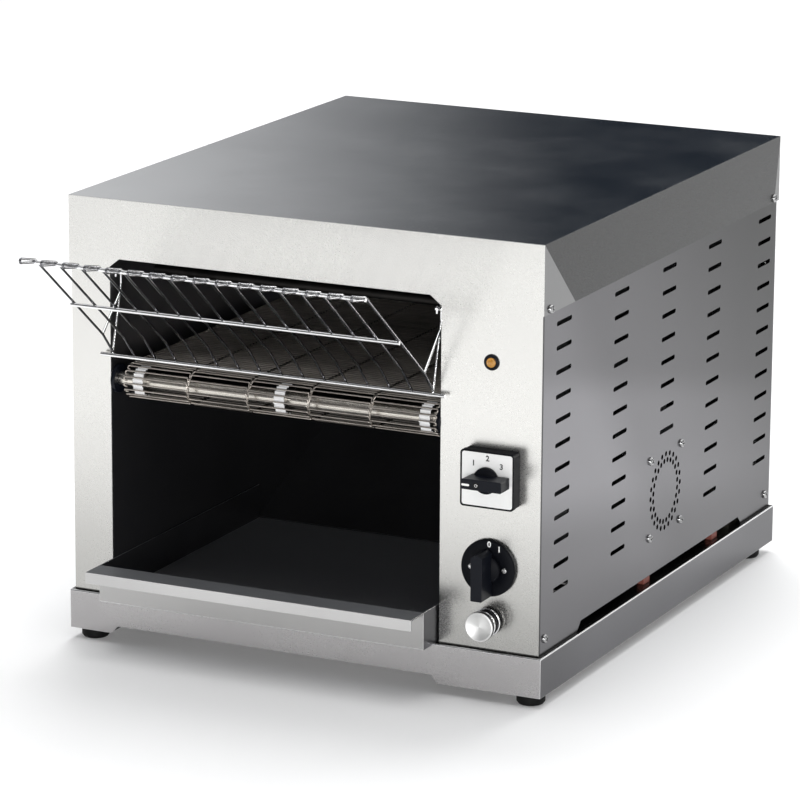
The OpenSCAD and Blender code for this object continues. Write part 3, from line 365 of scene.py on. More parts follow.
def keep(piece, body, slot, *nodes):
    """Attaches a finished piece to the body that carries it and hides the nodes that it stands for; slot is
    not used.
    """
    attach(piece, body)
    if nodes:
        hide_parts(*nodes)
    return piece


def is_fold(edge, folds):
    """True if an edge lies on one of the named fold lines: an axis and two coordinates in mm."""
    a, b = (v.co for v in edge.verts)
    for axis, places in folds:
        run = AXES[axis]
        if abs(b[run] - a[run]) < 0.98 * (b - a).length:
            continue
        if all(abs(a[AXES[k]] - at(v, v, v)[AXES[k]]) < 2e-4 for k, v in places.items()):
            return True
    return False


def merged(node):
    """The node's mesh as clean flat faces."""
    bm = bmesh.new()
    bm.from_mesh(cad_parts[node].data)
    bmesh.ops.remove_doubles(bm, verts=bm.verts, dist=2e-6)
    bmesh.ops.dissolve_limit(bm, angle_limit=math.radians(0.8), verts=bm.verts, edges=bm.edges)
    return bm


def rounded_copy(node, name, finish, body="body", slot="satin_steel", folds=(), fold=1.4, edge=0.25,
                 segments=3, faces=None, rim=None):
    """A copy of a node with rounded folds and broken edges; faces(face) may pick another finish, and
    rim is the finish of what is rounded."""
    bm = merged(node)
    layer = bm.edges.layers.float.new("bevel_weight_edge")
    for e in bm.edges:
        if len(e.link_faces) == 2 and e.calc_face_angle(0) > math.radians(25):
            e[layer] = 1.0 if is_fold(e, folds) else edge / fold
    picked = [faces(f) or finish if faces else finish for f in bm.faces]
    finishes = list(dict.fromkeys([finish, *picked] + ([rim] if rim else [])))
    for f, pick in zip(bm.faces, picked):
        f.smooth = True
        f.material_index = finishes.index(pick)
    mesh = bpy.data.meshes.new(name)
    bm.to_mesh(mesh)
    bm.free()
    for m in finishes:
        mesh.materials.append(m)
    piece = placed(name, mesh)
    bevel = piece.modifiers.new("broken edges", "BEVEL")
    bevel.limit_method, bevel.width, bevel.segments = "WEIGHT", fold / 1000, segments
    bevel.use_clamp_overlap = True
    # The rim finish paints a highlight on what the bevel rounds.
    if rim:
        bevel.material = finishes.index(rim)
    flat = piece.modifiers.new("flat faces stay flat", "WEIGHTED_NORMAL")
    flat.mode, flat.weight, flat.keep_sharp = "FACE_AREA", 90, True
    return keep(piece, body, slot, node)


def lid_faces(face):
    """The lid is brushed along another direction on each of its sides; its folded sides carry a painted
    reflection and its underside painted shade.
    """
    n = face.normal
    if n.z > 0.7:
        return steel_top
    if abs(n.x) > 0.7:
        return steel_flange
    return steel_shade_dark if n.z < -0.7 else None


lid_folds = [("Y", {"X": s * half, "Z": top}) for s in (-1, 1)]
lid_folds += [("X", {"Y": y, "Z": top}) for y in (0, deep)]
lid = rounded_copy("top_cover", "folded_lid", steel_front, folds=lid_folds, fold=1.3, faces=lid_faces)
print("lid:", len(lid.data.polygons), "flat faces")

# %% [markdown]
# ### Panels, plinth and tray
# The plinth, the panels and the tray are made in the same way. The tray's lip is folded twice, and
# its top edge is the brightest line of the front, so its folds are named one by one.

# %% Panels, plinth and tray
plinth_proud, plinth_top = 2, 45.5
plinth_folds = [("X", {"Y": y, "Z": plinth_top}) for y in (-plinth_proud, deep + plinth_proud)]
plinth_folds += [("Y", {"X": s * (half + plinth_proud), "Z": plinth_top}) for s in (-1, 1)]
tray_folds = [("X", {"Y": -50, "Z": 79.5}), ("X", {"Y": -26, "Z": 46}), ("X", {"Y": -25.5, "Z": 79.5})]


def plinth_faces(face):
    """The plinth's sides take the side finish with its painted reflection, and its narrow top ledge takes the
    front's finish, whose painted shadow at the joint darkens it.
    """
    return steel_side if abs(face.normal.x) > 0.7 else steel_front if face.normal.z > 0.7 else None


def post_faces(face):
    """The cut edges of the two front sheets get painted shade."""
    return steel_edge_shade if abs(face.normal.y) < 0.7 else None


def tray_faces(face):
    """The tray is bright outside; painted reflection and shade darken its lip's top, the wall below the lip,
    its ends and its inside.
    """
    n, y = face.normal, face.calc_center_median().y
    if y < at(0, -28, 0).y:
        return steel_lip if n.z > 0.7 else None
    if n.y < -0.7 and y < at(0, -24, 0).y:
        return steel_wall
    return steel_shade_dark if abs(n.x) > 0.7 else steel_inside


rounded_copy("base_frame", "plinth", steel_plinth, folds=plinth_folds, fold=1.5, faces=plinth_faces,
             rim=steel_fold_highlight)
rounded_copy("toast_tray", "toast_tray_sheet", steel_tray, "tray", folds=tray_folds, fold=1.0, edge=0.2,
             faces=tray_faces, rim=steel_fold_highlight)
for node, name in (("front_post", "front_post_sheet"), ("control_panel", "control_column_sheet")):
    rounded_copy(node, name, steel_front, faces=post_faces)
for node, name, finish in (("side_panel_left", "slotted_side_left", steel_panel),
                           ("side_panel_right", "slotted_side_right", steel_panel),
                           ("rear_panel", "vented_back", steel_back)):
    rounded_copy(node, name, finish, segments=2)
# The chamber's sheets get painted shade, and its ceiling and heat shield painted shadow.
for node, finish in (("chamber_wall_left", steel_shade_dark), ("chamber_wall_right", steel_shade_dark),
                     ("toast_chute", steel_shade_dark), ("chamber_ceiling", steel_shadow_black),
                     ("heat_shield", steel_shadow_black)):
    rounded_copy(node, node + "_sheet", finish, slot="dark_sheet", segments=2)

# %% [markdown]
# ## Turned and moulded pieces
# Knobs, the lamp, feet and bushes are round, so each is a profile of radius and height that is turned
# about an axis, as on a lathe. Handles and frames are outlines with a thickness. Both are closed
# meshes whose place is in the mesh, so the object itself stays at the origin.

# %% Lathe, plate and their helpers
quarter = math.pi / 2
UP = Matrix.Identity(4)
FORWARD, BACKWARD = (Matrix.Rotation(s * quarter, 4, "X") for s in (1, -1))
RIGHT, LEFT = (Matrix.Rotation(s * quarter, 4, "Y") for s in (1, -1))


def as_piece(name, bm, finish, smooth=True):
    """Turns built geometry into a piece, with its faces pointing outwards."""
    bmesh.ops.remove_doubles(bm, verts=bm.verts, dist=1e-7)
    bmesh.ops.recalc_face_normals(bm, faces=bm.faces)
    for f in bm.faces:
        f.smooth = smooth
    mesh = bpy.data.meshes.new(name)
    bm.to_mesh(mesh)
    bm.free()
    mesh.materials.append(finish)
    return placed(name, mesh)


def soften(piece, width):
    """Rounds every edge that is sharper than 30 degrees."""
    bevel = piece.modifiers.new("rounded edges", "BEVEL")
    bevel.width, bevel.segments, bevel.angle_limit = width / 1000, 3, math.radians(30)
    bevel.harden_normals = True
    return piece


def turned(name, profile, place, way, finish, steps=64, flutes=0, depth=0.0):
    """Turns (radius, height) points in mm about an axis; flutes cut the outer radius in and out."""
    bm = bmesh.new()
    turn = Matrix.Translation(at(*place)) @ way
    rings = []
    for r, h in profile:
        if r == 0:
            rings.append([bm.verts.new(turn @ Vector((0, 0, h / 1000)))])
            continue
        ring = []
        for i in range(steps):
            a = 2 * math.pi * i / steps
            cut = r - (depth * (0.5 - 0.5 * math.cos(a * flutes)) if flutes else 0)
            spot = Vector((cut * math.cos(a) / 1000, cut * math.sin(a) / 1000, h / 1000))
            ring.append(bm.verts.new(turn @ spot))
        rings.append(ring)
    for a, b in zip(rings, rings[1:]):
        for i in range(steps):
            j = (i + 1) % steps
            corners = [a[i % len(a)], a[j % len(a)], b[j % len(b)], b[i % len(b)]]
            corners = [v for k, v in enumerate(corners) if v not in corners[:k]]
            if len(corners) > 2:
                bm.faces.new(corners)
    return as_piece(name, bm, finish)


def plate(name, outline, middle, near, far, finish, foot=None):
    """Gives an outline of (X, Z) points round a middle a thickness on Y. The far side may have an
    outline of its own with as many points."""
    bm = bmesh.new()
    front, back = ([bm.verts.new(at(middle[0] + a, y, middle[1] + b)) for a, b in points]
                   for points, y in ((outline, near), (foot or outline, far)))
    bm.faces.new(front)
    bm.faces.new(back)
    for i in range(len(outline)):
        j = (i + 1) % len(outline)
        bm.faces.new((front[i], front[j], back[j], back[i]))
    return as_piece(name, bm, finish, smooth=False)


def rounded_square(w, h, r, steps=6):
    """A rectangle's outline with round corners."""
    points = []
    for k, (sx, sz) in enumerate(((1, 1), (-1, 1), (-1, -1), (1, -1))):
        for i in range(steps + 1):
            a = quarter * (k + i / steps)
            points.append((sx * (w / 2 - r) + r * math.cos(a), sz * (h / 2 - r) + r * math.sin(a)))
    return points


def lettering(name, text, x, y, z, height, finish, slot):
    """One printed digit, as a raised film a tenth of a millimetre thick."""
    words = bpy.data.curves.new(name, "FONT")
    words.body, words.size, words.align_x, words.align_y = text, height / 700, "CENTER", "CENTER"
    words.extrude, words.offset = 5e-5, 1.9e-4
    shape = placed(name, words)
    mesh = bpy.data.meshes.new_from_object(shape.evaluated_get(bpy.context.evaluated_depsgraph_get()))
    bpy.data.objects.remove(shape)
    mesh.transform(Matrix.Translation(at(x, y, z)) @ FORWARD)
    mesh.materials.clear()
    mesh.materials.append(finish)
    return keep(placed(name, mesh), "body", slot)


print("helpers for turned, flat and printed pieces ready")

# %% [markdown]
# ### Pilot lamp
# A black bezel holds a lens that stands a little proud of it. Both are turned, with a step inside the
# lens's edge that shows as a fine ring.

# %% Pilot lamp
column_x = 179.5
panel_y = 1.5
lamp = (column_x, panel_y, 298.5)
bezel_profile = [(4.3, -20), (5, -20), (5, 0), (7, 0), (7, 0.8), (6.7, 1.5), (6.1, 2), (5.2, 2.05),
                 (4.6, 1.7), (4.3, 1.2), (4.3, -20)]
lens_profile = [(0, -13), (4.25, -13), (4.25, 1.9), (3.9, 2.3), (3.3, 2.35), (3.1, 2.15), (2.7, 2.2),
                (1.6, 2.75), (0, 2.95)]
bezel = turned("lamp_bezel_ring", bezel_profile, lamp, FORWARD, black_gloss)
keep(bezel, "body", "black_plastic", "lamp_bezel")
keep(turned("lamp_lens_dome", lens_profile, lamp, FORWARD, amber), "body", "amber_lens", "lamp_lens")
print("lamp: 14 mm across")

# %% [markdown]
# ### Heat selector
# A square black frame in two layers with a white label let into it, and a bar handle on a round hub.
# Each layer is an outline with a thickness; the front one's face is pushed in to take the label. The
# handle has draft, as moulded parts do: its face is shorter and slimmer than its root.

# %% Heat selector
select_x, select_z = selector = (182.5, 199.7)
frame_front, frame_step, pocket, label_face = -13, -6.2, 1.2, -12.4
hub_back, grip_root, grip_face = -13.3, -14.3, -31.5
frame_piece = plate("selector_frame_bezel", rounded_square(49.5, 49.5, 3), selector, frame_front,
                    frame_step, black_plastic)
bm = bmesh.new()
bm.from_mesh(frame_piece.data)
front = min(bm.faces, key=lambda f: f.calc_center_median().y)
bmesh.ops.inset_region(bm, faces=[front], thickness=0.0013, use_even_offset=True)
for v in front.verts:
    v.co.y += pocket / 1000
bm.to_mesh(frame_piece.data)
bm.free()
keep(soften(frame_piece, 0.4), "body", "black_plastic", "selector_frame")
frame_base = plate("selector_frame_base", rounded_square(48.7, 48.7, 2.8), selector, frame_step, panel_y,
                   black_plastic)
keep(soften(frame_base, 0.4), "body", "black_plastic")
label = plate("selector_label_card", rounded_square(46.5, 46.5, 2.2), selector, label_face,
              frame_front + pocket, label_white)
keep(label, "body", "label_white", "selector_label")
for text, dx, dz in (("1", -12.6, 13.6), ("2", 0.4, 18.7), ("3", 13.2, 12.8)):
    lettering(f"selector_digit_{text}", text, select_x + dx, label_face - 0.02, select_z + dz, 4.7,
              print_black, "gloss_black")


def bar_outline(half_line):
    """A bar's outline from its lower half."""
    return half_line + [(a, -b) for a, b in reversed(half_line)]


hub = turned("selector_hub", [(0, 0), (11.5, 0), (11.5, 2.8), (11.0, 3.6), (10.2, 4.0), (0, 4.0)],
             (select_x, hub_back, select_z), FORWARD, black_plastic)
nose = bar_outline([(-14.95, -3.9), (-14.3, -4.5), (21.0, -4.9), (21.55, -4.3)])
root = bar_outline([(-12.9, -4.4), (-12.2, -5.0), (21.0, -5.0), (21.55, -4.4)])
wing = soften(plate("selector_wing", nose, selector, grip_face, grip_root, black_gloss, foot=root), 0.5)
keep(hub, "selector_knob", "gloss_black")
keep(wing, "selector_knob", "gloss_black", "selector_handle")
mark = plate("selector_pointer", rounded_square(7.2, 1.9, 0.8, 3), (select_x - 11.2, select_z - 0.6),
             grip_face - 0.06, grip_face + 0.2, print_white)
keep(mark, "selector_knob", "label_white")
rivet_place = (select_x - 1.5, grip_face, select_z - 0.4)
seat = turned("selector_rivet_seat", [(0, -0.4), (2.7, -0.4), (2.7, 0.03), (2.4, 0.05), (0, 0.05)],
              rivet_place, FORWARD, rubber, 28)
keep(seat, "selector_knob", "black_plastic")
rivet_profile = [(0.7, -0.2), (0.7, 0.1), (0.9, 0.16), (1.4, 0.16), (1.6, 0.1), (1.6, -0.2), (0.7, -0.2)]
rivet = turned("selector_rivet", rivet_profile, rivet_place, FORWARD, steel_screw, 28)
keep(rivet, "selector_knob", "bright_steel")
print("selector: 49.5 mm square")

# %% [markdown]
# ### Power switch
# A round plate with two screws and a bar handle whose pointed end shows the digit.

# %% Power switch
power_x, power_z = power = (column_x, 119.4)
disc_profile = [(4.1, 0), (25, 0), (25, 3.2), (24.7, 4.1), (23.9, 4.5), (4.1, 4.5), (4.1, 0)]
disc = turned("power_plate_disc", disc_profile, (power_x, panel_y, power_z), FORWARD, black_plastic, 96)
keep(disc, "body", "black_plastic", "power_plate")
for text, dx, dz in (("0", 1.4, 21.2), ("1", 10.7, 17.9)):
    lettering(f"power_digit_{text}", text, power_x + dx, -3.02, power_z + dz, 4.9, print_white, "label_white")
power_hub = turned("power_hub", [(0, 0), (12.4, 0), (12.4, 2.4), (11.4, 3.7), (0, 4)],
                   (power_x, -3.3, power_z), FORWARD, black_plastic)
keep(power_hub, "power_knob", "gloss_black")
bar_line = [(-5.2, -23.0), (-4.6, -23.6), (4.6, -23.6), (5.2, -23.0), (5.2, 14.9), (0.8, 17.4),
            (-0.8, 17.4), (-5.2, 14.9)]
bar = soften(plate("power_bar", bar_line, power, -26.0, -4.3, black_gloss), 0.6)
keep(bar, "power_knob", "gloss_black", "power_handle")
print("power switch: 50 mm plate")

# %% [markdown]
# ### Speed knob
# A fluted black core between two bright rings, with a turned aluminium cap. A faced-off disc mirrors
# light in two fans; here they are a painted sheen, a sine round the cap's middle that lightens and
# darkens the cap's colour.

# %% Speed knob
dial_z = 72.0
faced, tree, shader = surface("aluminium_faced")
place = parts_of(tree, own_place(tree))
round_it = sums(tree, "ARCTAN2", sums(tree, "SUBTRACT", place[2], dial_z / 1000),
                sums(tree, "SUBTRACT", place[0], column_x / 1000))
# Painted sheen: two light fans in the cap's colour.
painted_sheen = sums(tree, "SINE", sums(tree, "ADD", sums(tree, "MULTIPLY", round_it, 2.0), 0.4))
connect(tree, shader, {
    "Base Color": two_tones(tree, span(tree, painted_sheen, -0.9, 0.9), (0.70, 0.70, 0.69), (0.93, 0.93, 0.92)),
    "Metallic": 0.75, "Roughness": 0.48})
dial = (column_x, 0, dial_z)
core = turned("speed_knob_core", [(3, -6), (11.6, -0.6), (11.6, 13.8), (3, 14.2)], (column_x, -2.2, dial_z),
              FORWARD, black_plastic, 144, 36, 0.45)
stem = turned("speed_knob_stem", [(0, -12.5), (2.95, -12.5), (2.95, 2), (0, 2)], dial, FORWARD,
              steel_plain, 32)
rings = []
for i, (a, b) in enumerate(((12.0, 13.5), (2.5, 4.0))):
    band = [(11, a), (12.5, a + 0.2), (12.5, b - 0.2), (11, b), (11, a)]
    rings.append(turned(f"speed_knob_ring_{i}", band, dial, FORWARD, aluminium))
cap_profile = [(0, 0), (12.6, 0), (13, 0.4), (13, 3.3), (12.7, 3.8), (12.2, 4.0), (11.4, 3.95),
               (11.2, 3.7), (0, 3.45)]
cap = turned("speed_knob_cap_face", cap_profile, (column_x, -16, dial_z), FORWARD, faced, 96)
cap.data.materials.append(black_gloss)
for f in cap.data.polygons:
    f.material_index = int(abs(f.normal.y) < 0.5)
for piece in (core, stem, *rings, cap):
    keep(piece, "speed_dial", "black_plastic" if piece is core else "knob_aluminium")
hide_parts("speed_knob")
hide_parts("speed_knob_cap")
print("speed knob: 26 mm")

# %% [markdown]
# ## Geometry Nodes for what repeats
# Three small trees make everything that comes in numbers. The first sets copies of a master piece on
# points that carry their own turn. The second bends round wire along lines and repeats it in a row.
# The third wraps the belt round its shafts. Each ends by making its copies real and giving them their
# finish, and the result is kept as a plain mesh.

# %% Tree helpers


def new_tree(name, **sockets):
    """A Geometry Nodes tree with named inputs; gives the tree, its input node and its output node."""
    tree = bpy.data.node_groups.new(name, "GeometryNodeTree")
    tree.interface.new_socket("Geometry", in_out="INPUT", socket_type="NodeSocketGeometry")
    for key, kind in sockets.items():
        label = key.replace("_", " ").capitalize()
        tree.interface.new_socket(label, in_out="INPUT", socket_type="NodeSocket" + kind)
    tree.interface.new_socket("Geometry", in_out="OUTPUT", socket_type="NodeSocketGeometry")
    return tree, grow(tree, "NodeGroupInput").outputs, grow(tree, "NodeGroupOutput").inputs


def repeated(tree, points, geometry):
    """A real copy of some geometry on each point."""
    copies = made(tree, "GeometryNodeInstanceOnPoints", {"Points": points, "Instance": geometry})
    return made(tree, "GeometryNodeRealizeInstances", {"Geometry": copies})


def as_wire(tree, curve, inputs):
    """Round wire along a curve."""
    section = made(tree, "GeometryNodeCurvePrimitiveCircle", {
        "Resolution": inputs["Sides"], "Radius": sums(tree, "MULTIPLY", inputs["Diameter"], 0.5)})
    return made(tree, "GeometryNodeCurveToMesh", {
        "Curve": curve, "Profile Curve": section, "Fill Caps": True})


def ended(tree, geometry, inputs, outputs):
    """Ends a tree: copies made real, shading smooth but for edges of 75 degrees and more, finish set."""
    real = made(tree, "GeometryNodeRealizeInstances", {"Geometry": geometry})
    smooth = made(tree, "GeometryNodeSetShadeSmooth", {"Geometry": real})
    steep = sums(tree, "GREATER_THAN", made(tree, "GeometryNodeInputMeshEdgeAngle"), 1.3)
    creased = made(tree, "GeometryNodeSetShadeSmooth", {
        "Geometry": smooth, "Selection": steep, "Shade Smooth": False}, domain="EDGE")
    last = made(tree, "GeometryNodeSetMaterial", {"Geometry": creased, "Material": inputs["Finish"]})
    tree.links.new(last, outputs[0])


def built(name, tree, start, **values):
    """Runs a tree on a start mesh and keeps what it makes as a plain mesh."""
    piece = placed(name, start)
    nodes = piece.modifiers.new("build", "NODES")
    nodes.node_group = tree
    for item in tree.interface.items_tree:
        key = item.name.lower().replace(" ", "_")
        if item.in_out == "INPUT" and key in values:
            nodes[item.identifier] = values[key]
    piece.update_tag()
    mesh = bpy.data.meshes.new_from_object(piece.evaluated_get(bpy.context.evaluated_depsgraph_get()))
    piece.modifiers.clear()
    piece.data = mesh
    return piece


def lines(name, points):
    """A mesh of edges from point to point."""
    mesh = bpy.data.meshes.new(name)
    mesh.from_pydata(points, [(i, i + 1) for i in range(len(points) - 1)], [])
    return mesh


def places_mesh(name, places):
    """Points in mm, each with the way its copy faces and a spin about the copy's own axis."""
    mesh = bpy.data.meshes.new(name)
    mesh.from_pydata([at(*p[:3]) for p in places], [], [])
    turns = mesh.attributes.new("turn", "FLOAT_VECTOR", "POINT")
    ways = [(way @ Matrix.Rotation(spin, 4, "Z")).to_euler() for *_, way, spin in places]
    turns.data.foreach_set("vector", [angle for turn in ways for angle in turn])
    return mesh


set_tree, inputs, outputs = new_tree("set_in_places", master="Object", finish="Material")
turn = made(set_tree, "GeometryNodeInputNamedAttribute", {"Name": "turn"}, data_type="FLOAT_VECTOR")
master = grow(set_tree, "GeometryNodeObjectInfo", {"Object": inputs["Master"]}).outputs["Geometry"]
copies = made(set_tree, "GeometryNodeInstanceOnPoints", {
    "Points": inputs["Geometry"], "Instance": master,
    "Rotation": made(set_tree, "FunctionNodeEulerToRotation", {0: turn})})
ended(set_tree, copies, inputs, outputs)

wire_tree, inputs, outputs = new_tree("bent_wires", count="Int", step="Vector", diameter="Float",
                                      bend="Float", sides="Int", finish="Material")
row = made(wire_tree, "GeometryNodeMeshLine", {"Count": inputs["Count"], "Offset": inputs["Step"]})
curve = made(wire_tree, "GeometryNodeMeshToCurve", {"Mesh": repeated(wire_tree, row, inputs["Geometry"])})
bent = made(wire_tree, "GeometryNodeFilletCurve", {
    "Curve": curve, "Count": 5, "Radius": inputs["Bend"], "Limit Radius": True}, mode="POLY")
ended(wire_tree, as_wire(wire_tree, bent, inputs), inputs, outputs)


def wires(name, path, finish, diameter, bend=2.0, count=1, step=(0, 0, 0), sides=10):
    """Bent round wire along a path in mm, repeated count times at a step in mm."""
    return built(name, wire_tree, lines(name, [at(*p) for p in path]), count=count,
                 step=[v / 1000 for v in step], diameter=diameter / 1000, bend=bend / 1000, sides=sides,
                 finish=finish)


print("trees:", [t.name for t in bpy.data.node_groups])

# %% [markdown]
# ### Screws and feet
# The case is held by pan-head screws with a cross recess. One master screw is turned and its recess is
# cut with a Boolean; the tree then sets it wherever the case has a screw. Feet are rubber with a
# pressed rim and a threaded stud.

# %% Master screw


def to_origin(piece):
    """Moves a turned master's mesh from the lid's front to Blender's own origin."""
    piece.data.transform(Matrix.Translation(-at(0, 0, 0)))


def off_stage(piece):
    """Takes a master out of the scene, so that only its copies show."""
    scene.collection.objects.unlink(piece)
    return piece


def master_screw(name, head, height, shank, length):
    """A pan-head screw along +Z, with its head's underside at the origin."""
    r, s = head / 2, shank / 2
    profile = [(0, -length), (s * 0.7, -length), (s, -length + 0.8), (s, 0), (r, 0), (r, height * 0.35),
               (r * 0.93, height * 0.66), (r * 0.76, height * 0.9), (r * 0.45, height), (0, height)]
    screw = turned(name, profile, (0, 0, 0), UP, steel_screw, 28)
    to_origin(screw)
    cutter = bmesh.new()
    for w, d in ((0.15, 0.62), (0.62, 0.15)):
        size = Matrix.Diagonal((w * head / 1000, d * head / 1000, height * 1.3 / 1000, 1))
        bmesh.ops.create_cube(cutter, size=1, matrix=Matrix.Translation((0, 0, height / 1000)) @ size)
    cross = as_piece(name + "_recess", cutter, steel_shade_dark, False)
    cut = screw.modifiers.new("recess", "BOOLEAN")
    cut.object, cut.operation, cut.solver, cut.use_self = cross, "DIFFERENCE", "EXACT", True
    mesh = bpy.data.meshes.new_from_object(screw.evaluated_get(bpy.context.evaluated_depsgraph_get()))
    screw.modifiers.clear()
    screw.data = mesh
    bpy.data.objects.remove(cross)
    return off_stage(screw)


def set_pieces(name, master, places, finish):
    """Copies of a master on their places, as one plain mesh."""
    return built(name, set_tree, places_mesh(name, places), master=master, finish=finish)


case_screw = master_screw("case_screw", 7.6, 2.6, 4, 7)
fan_screw = master_screw("fan_screw", 7.6, 2.6, 4, 25)
small_screw = master_screw("plate_screw", 5, 1.2, 3, 8.9)
outward = {-1: LEFT, 1: RIGHT}
corners = [(s, y) for s in (-1, 1) for y in (13.4, deep - 13.4)]
upper = [(s * half, y, 347, outward[s], 0.4 + y) for s, y in corners]
panel_x = half - 1.5
lower = [(s * panel_x, y, 59.2, outward[s], 1.1 + y) for s, y in corners]
back = [(s * 218, deep - 1.5, z, BACKWARD, s * 0.5 + z) for s in (-1, 1) for z in (105.5, 283)]
fan_middle, fan_height, fan_pitch = 278, 124.5, 71.5 / 2
fan_places = [(panel_x, fan_middle + a * fan_pitch, fan_height + b * fan_pitch, RIGHT, a * 0.5 + b)
              for a in (-1, 1) for b in (-1, 1)]
plate_places = [(power_x + s * 15.6, -3, power_z, FORWARD, s) for s in (-1, 1)]
screw_rows = (("lid_screws", case_screw, upper, "cover_screws"),
              ("plinth_screws", case_screw, lower, "base_screws"),
              ("back_screws", case_screw, back, "rear_screws"),
              ("fan_grille_screws", fan_screw, fan_places, "fan_screws"),
              ("switch_plate_screws", small_screw, plate_places, "power_screws"))
for name, master, places, node in screw_rows:
    keep(set_pieces(name, master, places, steel_screw), "body", "bright_steel", node)
print("screws set:", sum(len(places) for _, _, places, _ in screw_rows))

# %% Feet
foot_profile = [(0, 0), (10.4, 0), (11.0, 0.3), (11.8, 1.6), (12.4, 2.2), (12.5, 3), (12.5, 8.6),
                (12.1, 9.6), (11.4, 10), (3, 10), (3, 18.4), (0, 18.4)]
foot = turned("foot_master", foot_profile, (0, 0, 0), UP, rubber, 40)
to_origin(foot)
foot_places = [(s * 213.5, y, 0, UP, 0) for s in (-1, 1) for y in (15, deep - 26)]
keep(set_pieces("rubber_feet", off_stage(foot), foot_places, rubber), "body", "foot_rubber", "feet")
print("feet set:", len(foot_places))

# %% [markdown]
# ### Feed rack
# Sixteen wires slope down to the belt. Each comes up from the bottom rail, bends over the two upper
# rails and turns back on itself in a small hairpin at the top, so no sharp end points at the user. Two
# bent side frames with hooks carry the rack on its studs. The wire tree repeats one wire sixteen times.

# %% Feed rack
rack_middle, spread, wire_count = -27.5, 310, 16
step = spread / (wire_count - 1)
bottom, middle, upper_rail = (-4, 265.67), (-72.22, 325.11), (-135.5, 374.67)
lean = Vector((0.6157, 0.788)) * 2.45
wire_path = [(y + lean.x, z + lean.y) for y, z in (bottom, (-22.5, 286.17), middle, upper_rail)]
wire_path += [(-158.6, 382.3), (-158.9, 378.5), (-136.5, 374.7)]
first = rack_middle - spread / 2
# The sixteen wires take the dark wire finish, a painted reflection of the chamber.
rack_wires = wires("rack_wires", [(first, y, z) for y, z in wire_path], steel_wire_painted_dark, 2.2, 2.4,
                   wire_count, (step, 0, 0))
keep(rack_wires, "rack", "bright_steel", "feed_rack")
reach = spread / 2 + 1.5
rails = []
for i, ((y, z), more) in enumerate(((bottom, 10), (middle, 0), (upper_rail, 0))):
    ends = [(rack_middle + s * (reach + more), y, z) for s in (-1, 1)]
    rails.append(wires(f"rack_rail_{i}", ends, steel_bright, 3.4, 0.1, sides=14))
leg_path = [bottom, (12, 326.77), (12, 341.17), (3.2, 341.17), (3.2, 334.67)]
brace_path = [(-21, 288.2), (10.1, 319.4)]
stud_profile = [(0, 0), (2, 0), (2, 6.0), (1.7, 6.3), (1.7, 7.4), (2, 7.7), (1.8, 8.5), (0, 8.5)]
for s, side, wall_x in ((-1, "left", -187.5), (1, "right", 132.5)):
    x = rack_middle + s * spread / 2
    rails.append(wires(f"rack_leg_{side}", [(x, y, z) for y, z in leg_path], steel_bright, 2.2, 2.5))
    rails.append(wires(f"rack_brace_{side}", [(x, y, z) for y, z in brace_path], steel_bright, 2.2))
    stud = turned(f"rack_stud_{side}", stud_profile, (wall_x, 7.6, 337.77), outward[-s], steel_bright, 24)
    keep(stud, "body", "bright_steel", *(["rack_studs"] if s < 0 else []))
for piece in rails:
    keep(piece, "rack", "bright_steel")
print("rack:", wire_count, "wires,", len(rails), "rails and side wires")

# %% [markdown]
# ### Wire belt
# The belt is woven from 148 cross wires. Each wire runs across five lanes, steps from one lane to the
# next with a hook that catches the wire before it, and ends in a round curl at both edges. The wire is
# drawn once on flat paper as (across, along, out of the belt), repeated along it, and the tree then
# bends the paper round both shafts with a formula of two clamped angles.

# %% Belt tree
belt_tree, inputs, outputs = new_tree("wire_belt_weave", wires="Int", pitch="Float", run="Float",
                                      radius="Float", front="Float", height="Float", diameter="Float",
                                      sides="Int", finish="Material")


def calc(operation, *values):
    """One step of arithmetic in the belt's tree."""
    return sums(belt_tree, operation, *values)


def clamped(value, low, high):
    """Keeps a value between two limits."""
    return calc("MINIMUM", calc("MAXIMUM", value, low), high)


row = made(belt_tree, "GeometryNodeMeshLine", {
    "Count": inputs["Wires"], "Offset": made(belt_tree, "ShaderNodeCombineXYZ", {1: inputs["Pitch"]})})
flat = repeated(belt_tree, row, inputs["Geometry"])
across, along, out = parts_of(belt_tree, made(belt_tree, "GeometryNodeInputPosition"))
run, radius = inputs["Run"], inputs["Radius"]
one_side = calc("ADD", run, calc("MULTIPLY", radius, math.pi))
travel = calc("WRAP", along, calc("MULTIPLY", one_side, 2.0), 0.0)
after_back = calc("SUBTRACT", travel, one_side)
back_turn, front_turn = (clamped(calc("DIVIDE", calc("SUBTRACT", way, run), radius), 0.0, math.pi)
                         for way in (travel, after_back))
arm = calc("ADD", radius, out)
turning = calc("SUBTRACT", calc("SINE", back_turn), calc("SINE", front_turn))
straight = calc("SUBTRACT", clamped(travel, 0.0, run), clamped(after_back, 0.0, run))
depth = calc("ADD", calc("ADD", inputs["Front"], straight), calc("MULTIPLY", arm, turning))
rising = calc("ADD", calc("COSINE", back_turn), calc("SUBTRACT", 1.0, calc("COSINE", front_turn)))
level_z = calc("ADD", inputs["Height"], calc("MULTIPLY", arm, rising))
bent = made(belt_tree, "GeometryNodeSetPosition", {
    "Geometry": flat, "Position": made(belt_tree, "ShaderNodeCombineXYZ", {0: across, 1: depth, 2: level_z})})
curve = made(belt_tree, "GeometryNodeMeshToCurve", {"Mesh": bent})
ended(belt_tree, as_wire(belt_tree, curve, inputs), inputs, outputs)
print("belt tree:", len(belt_tree.nodes), "nodes")

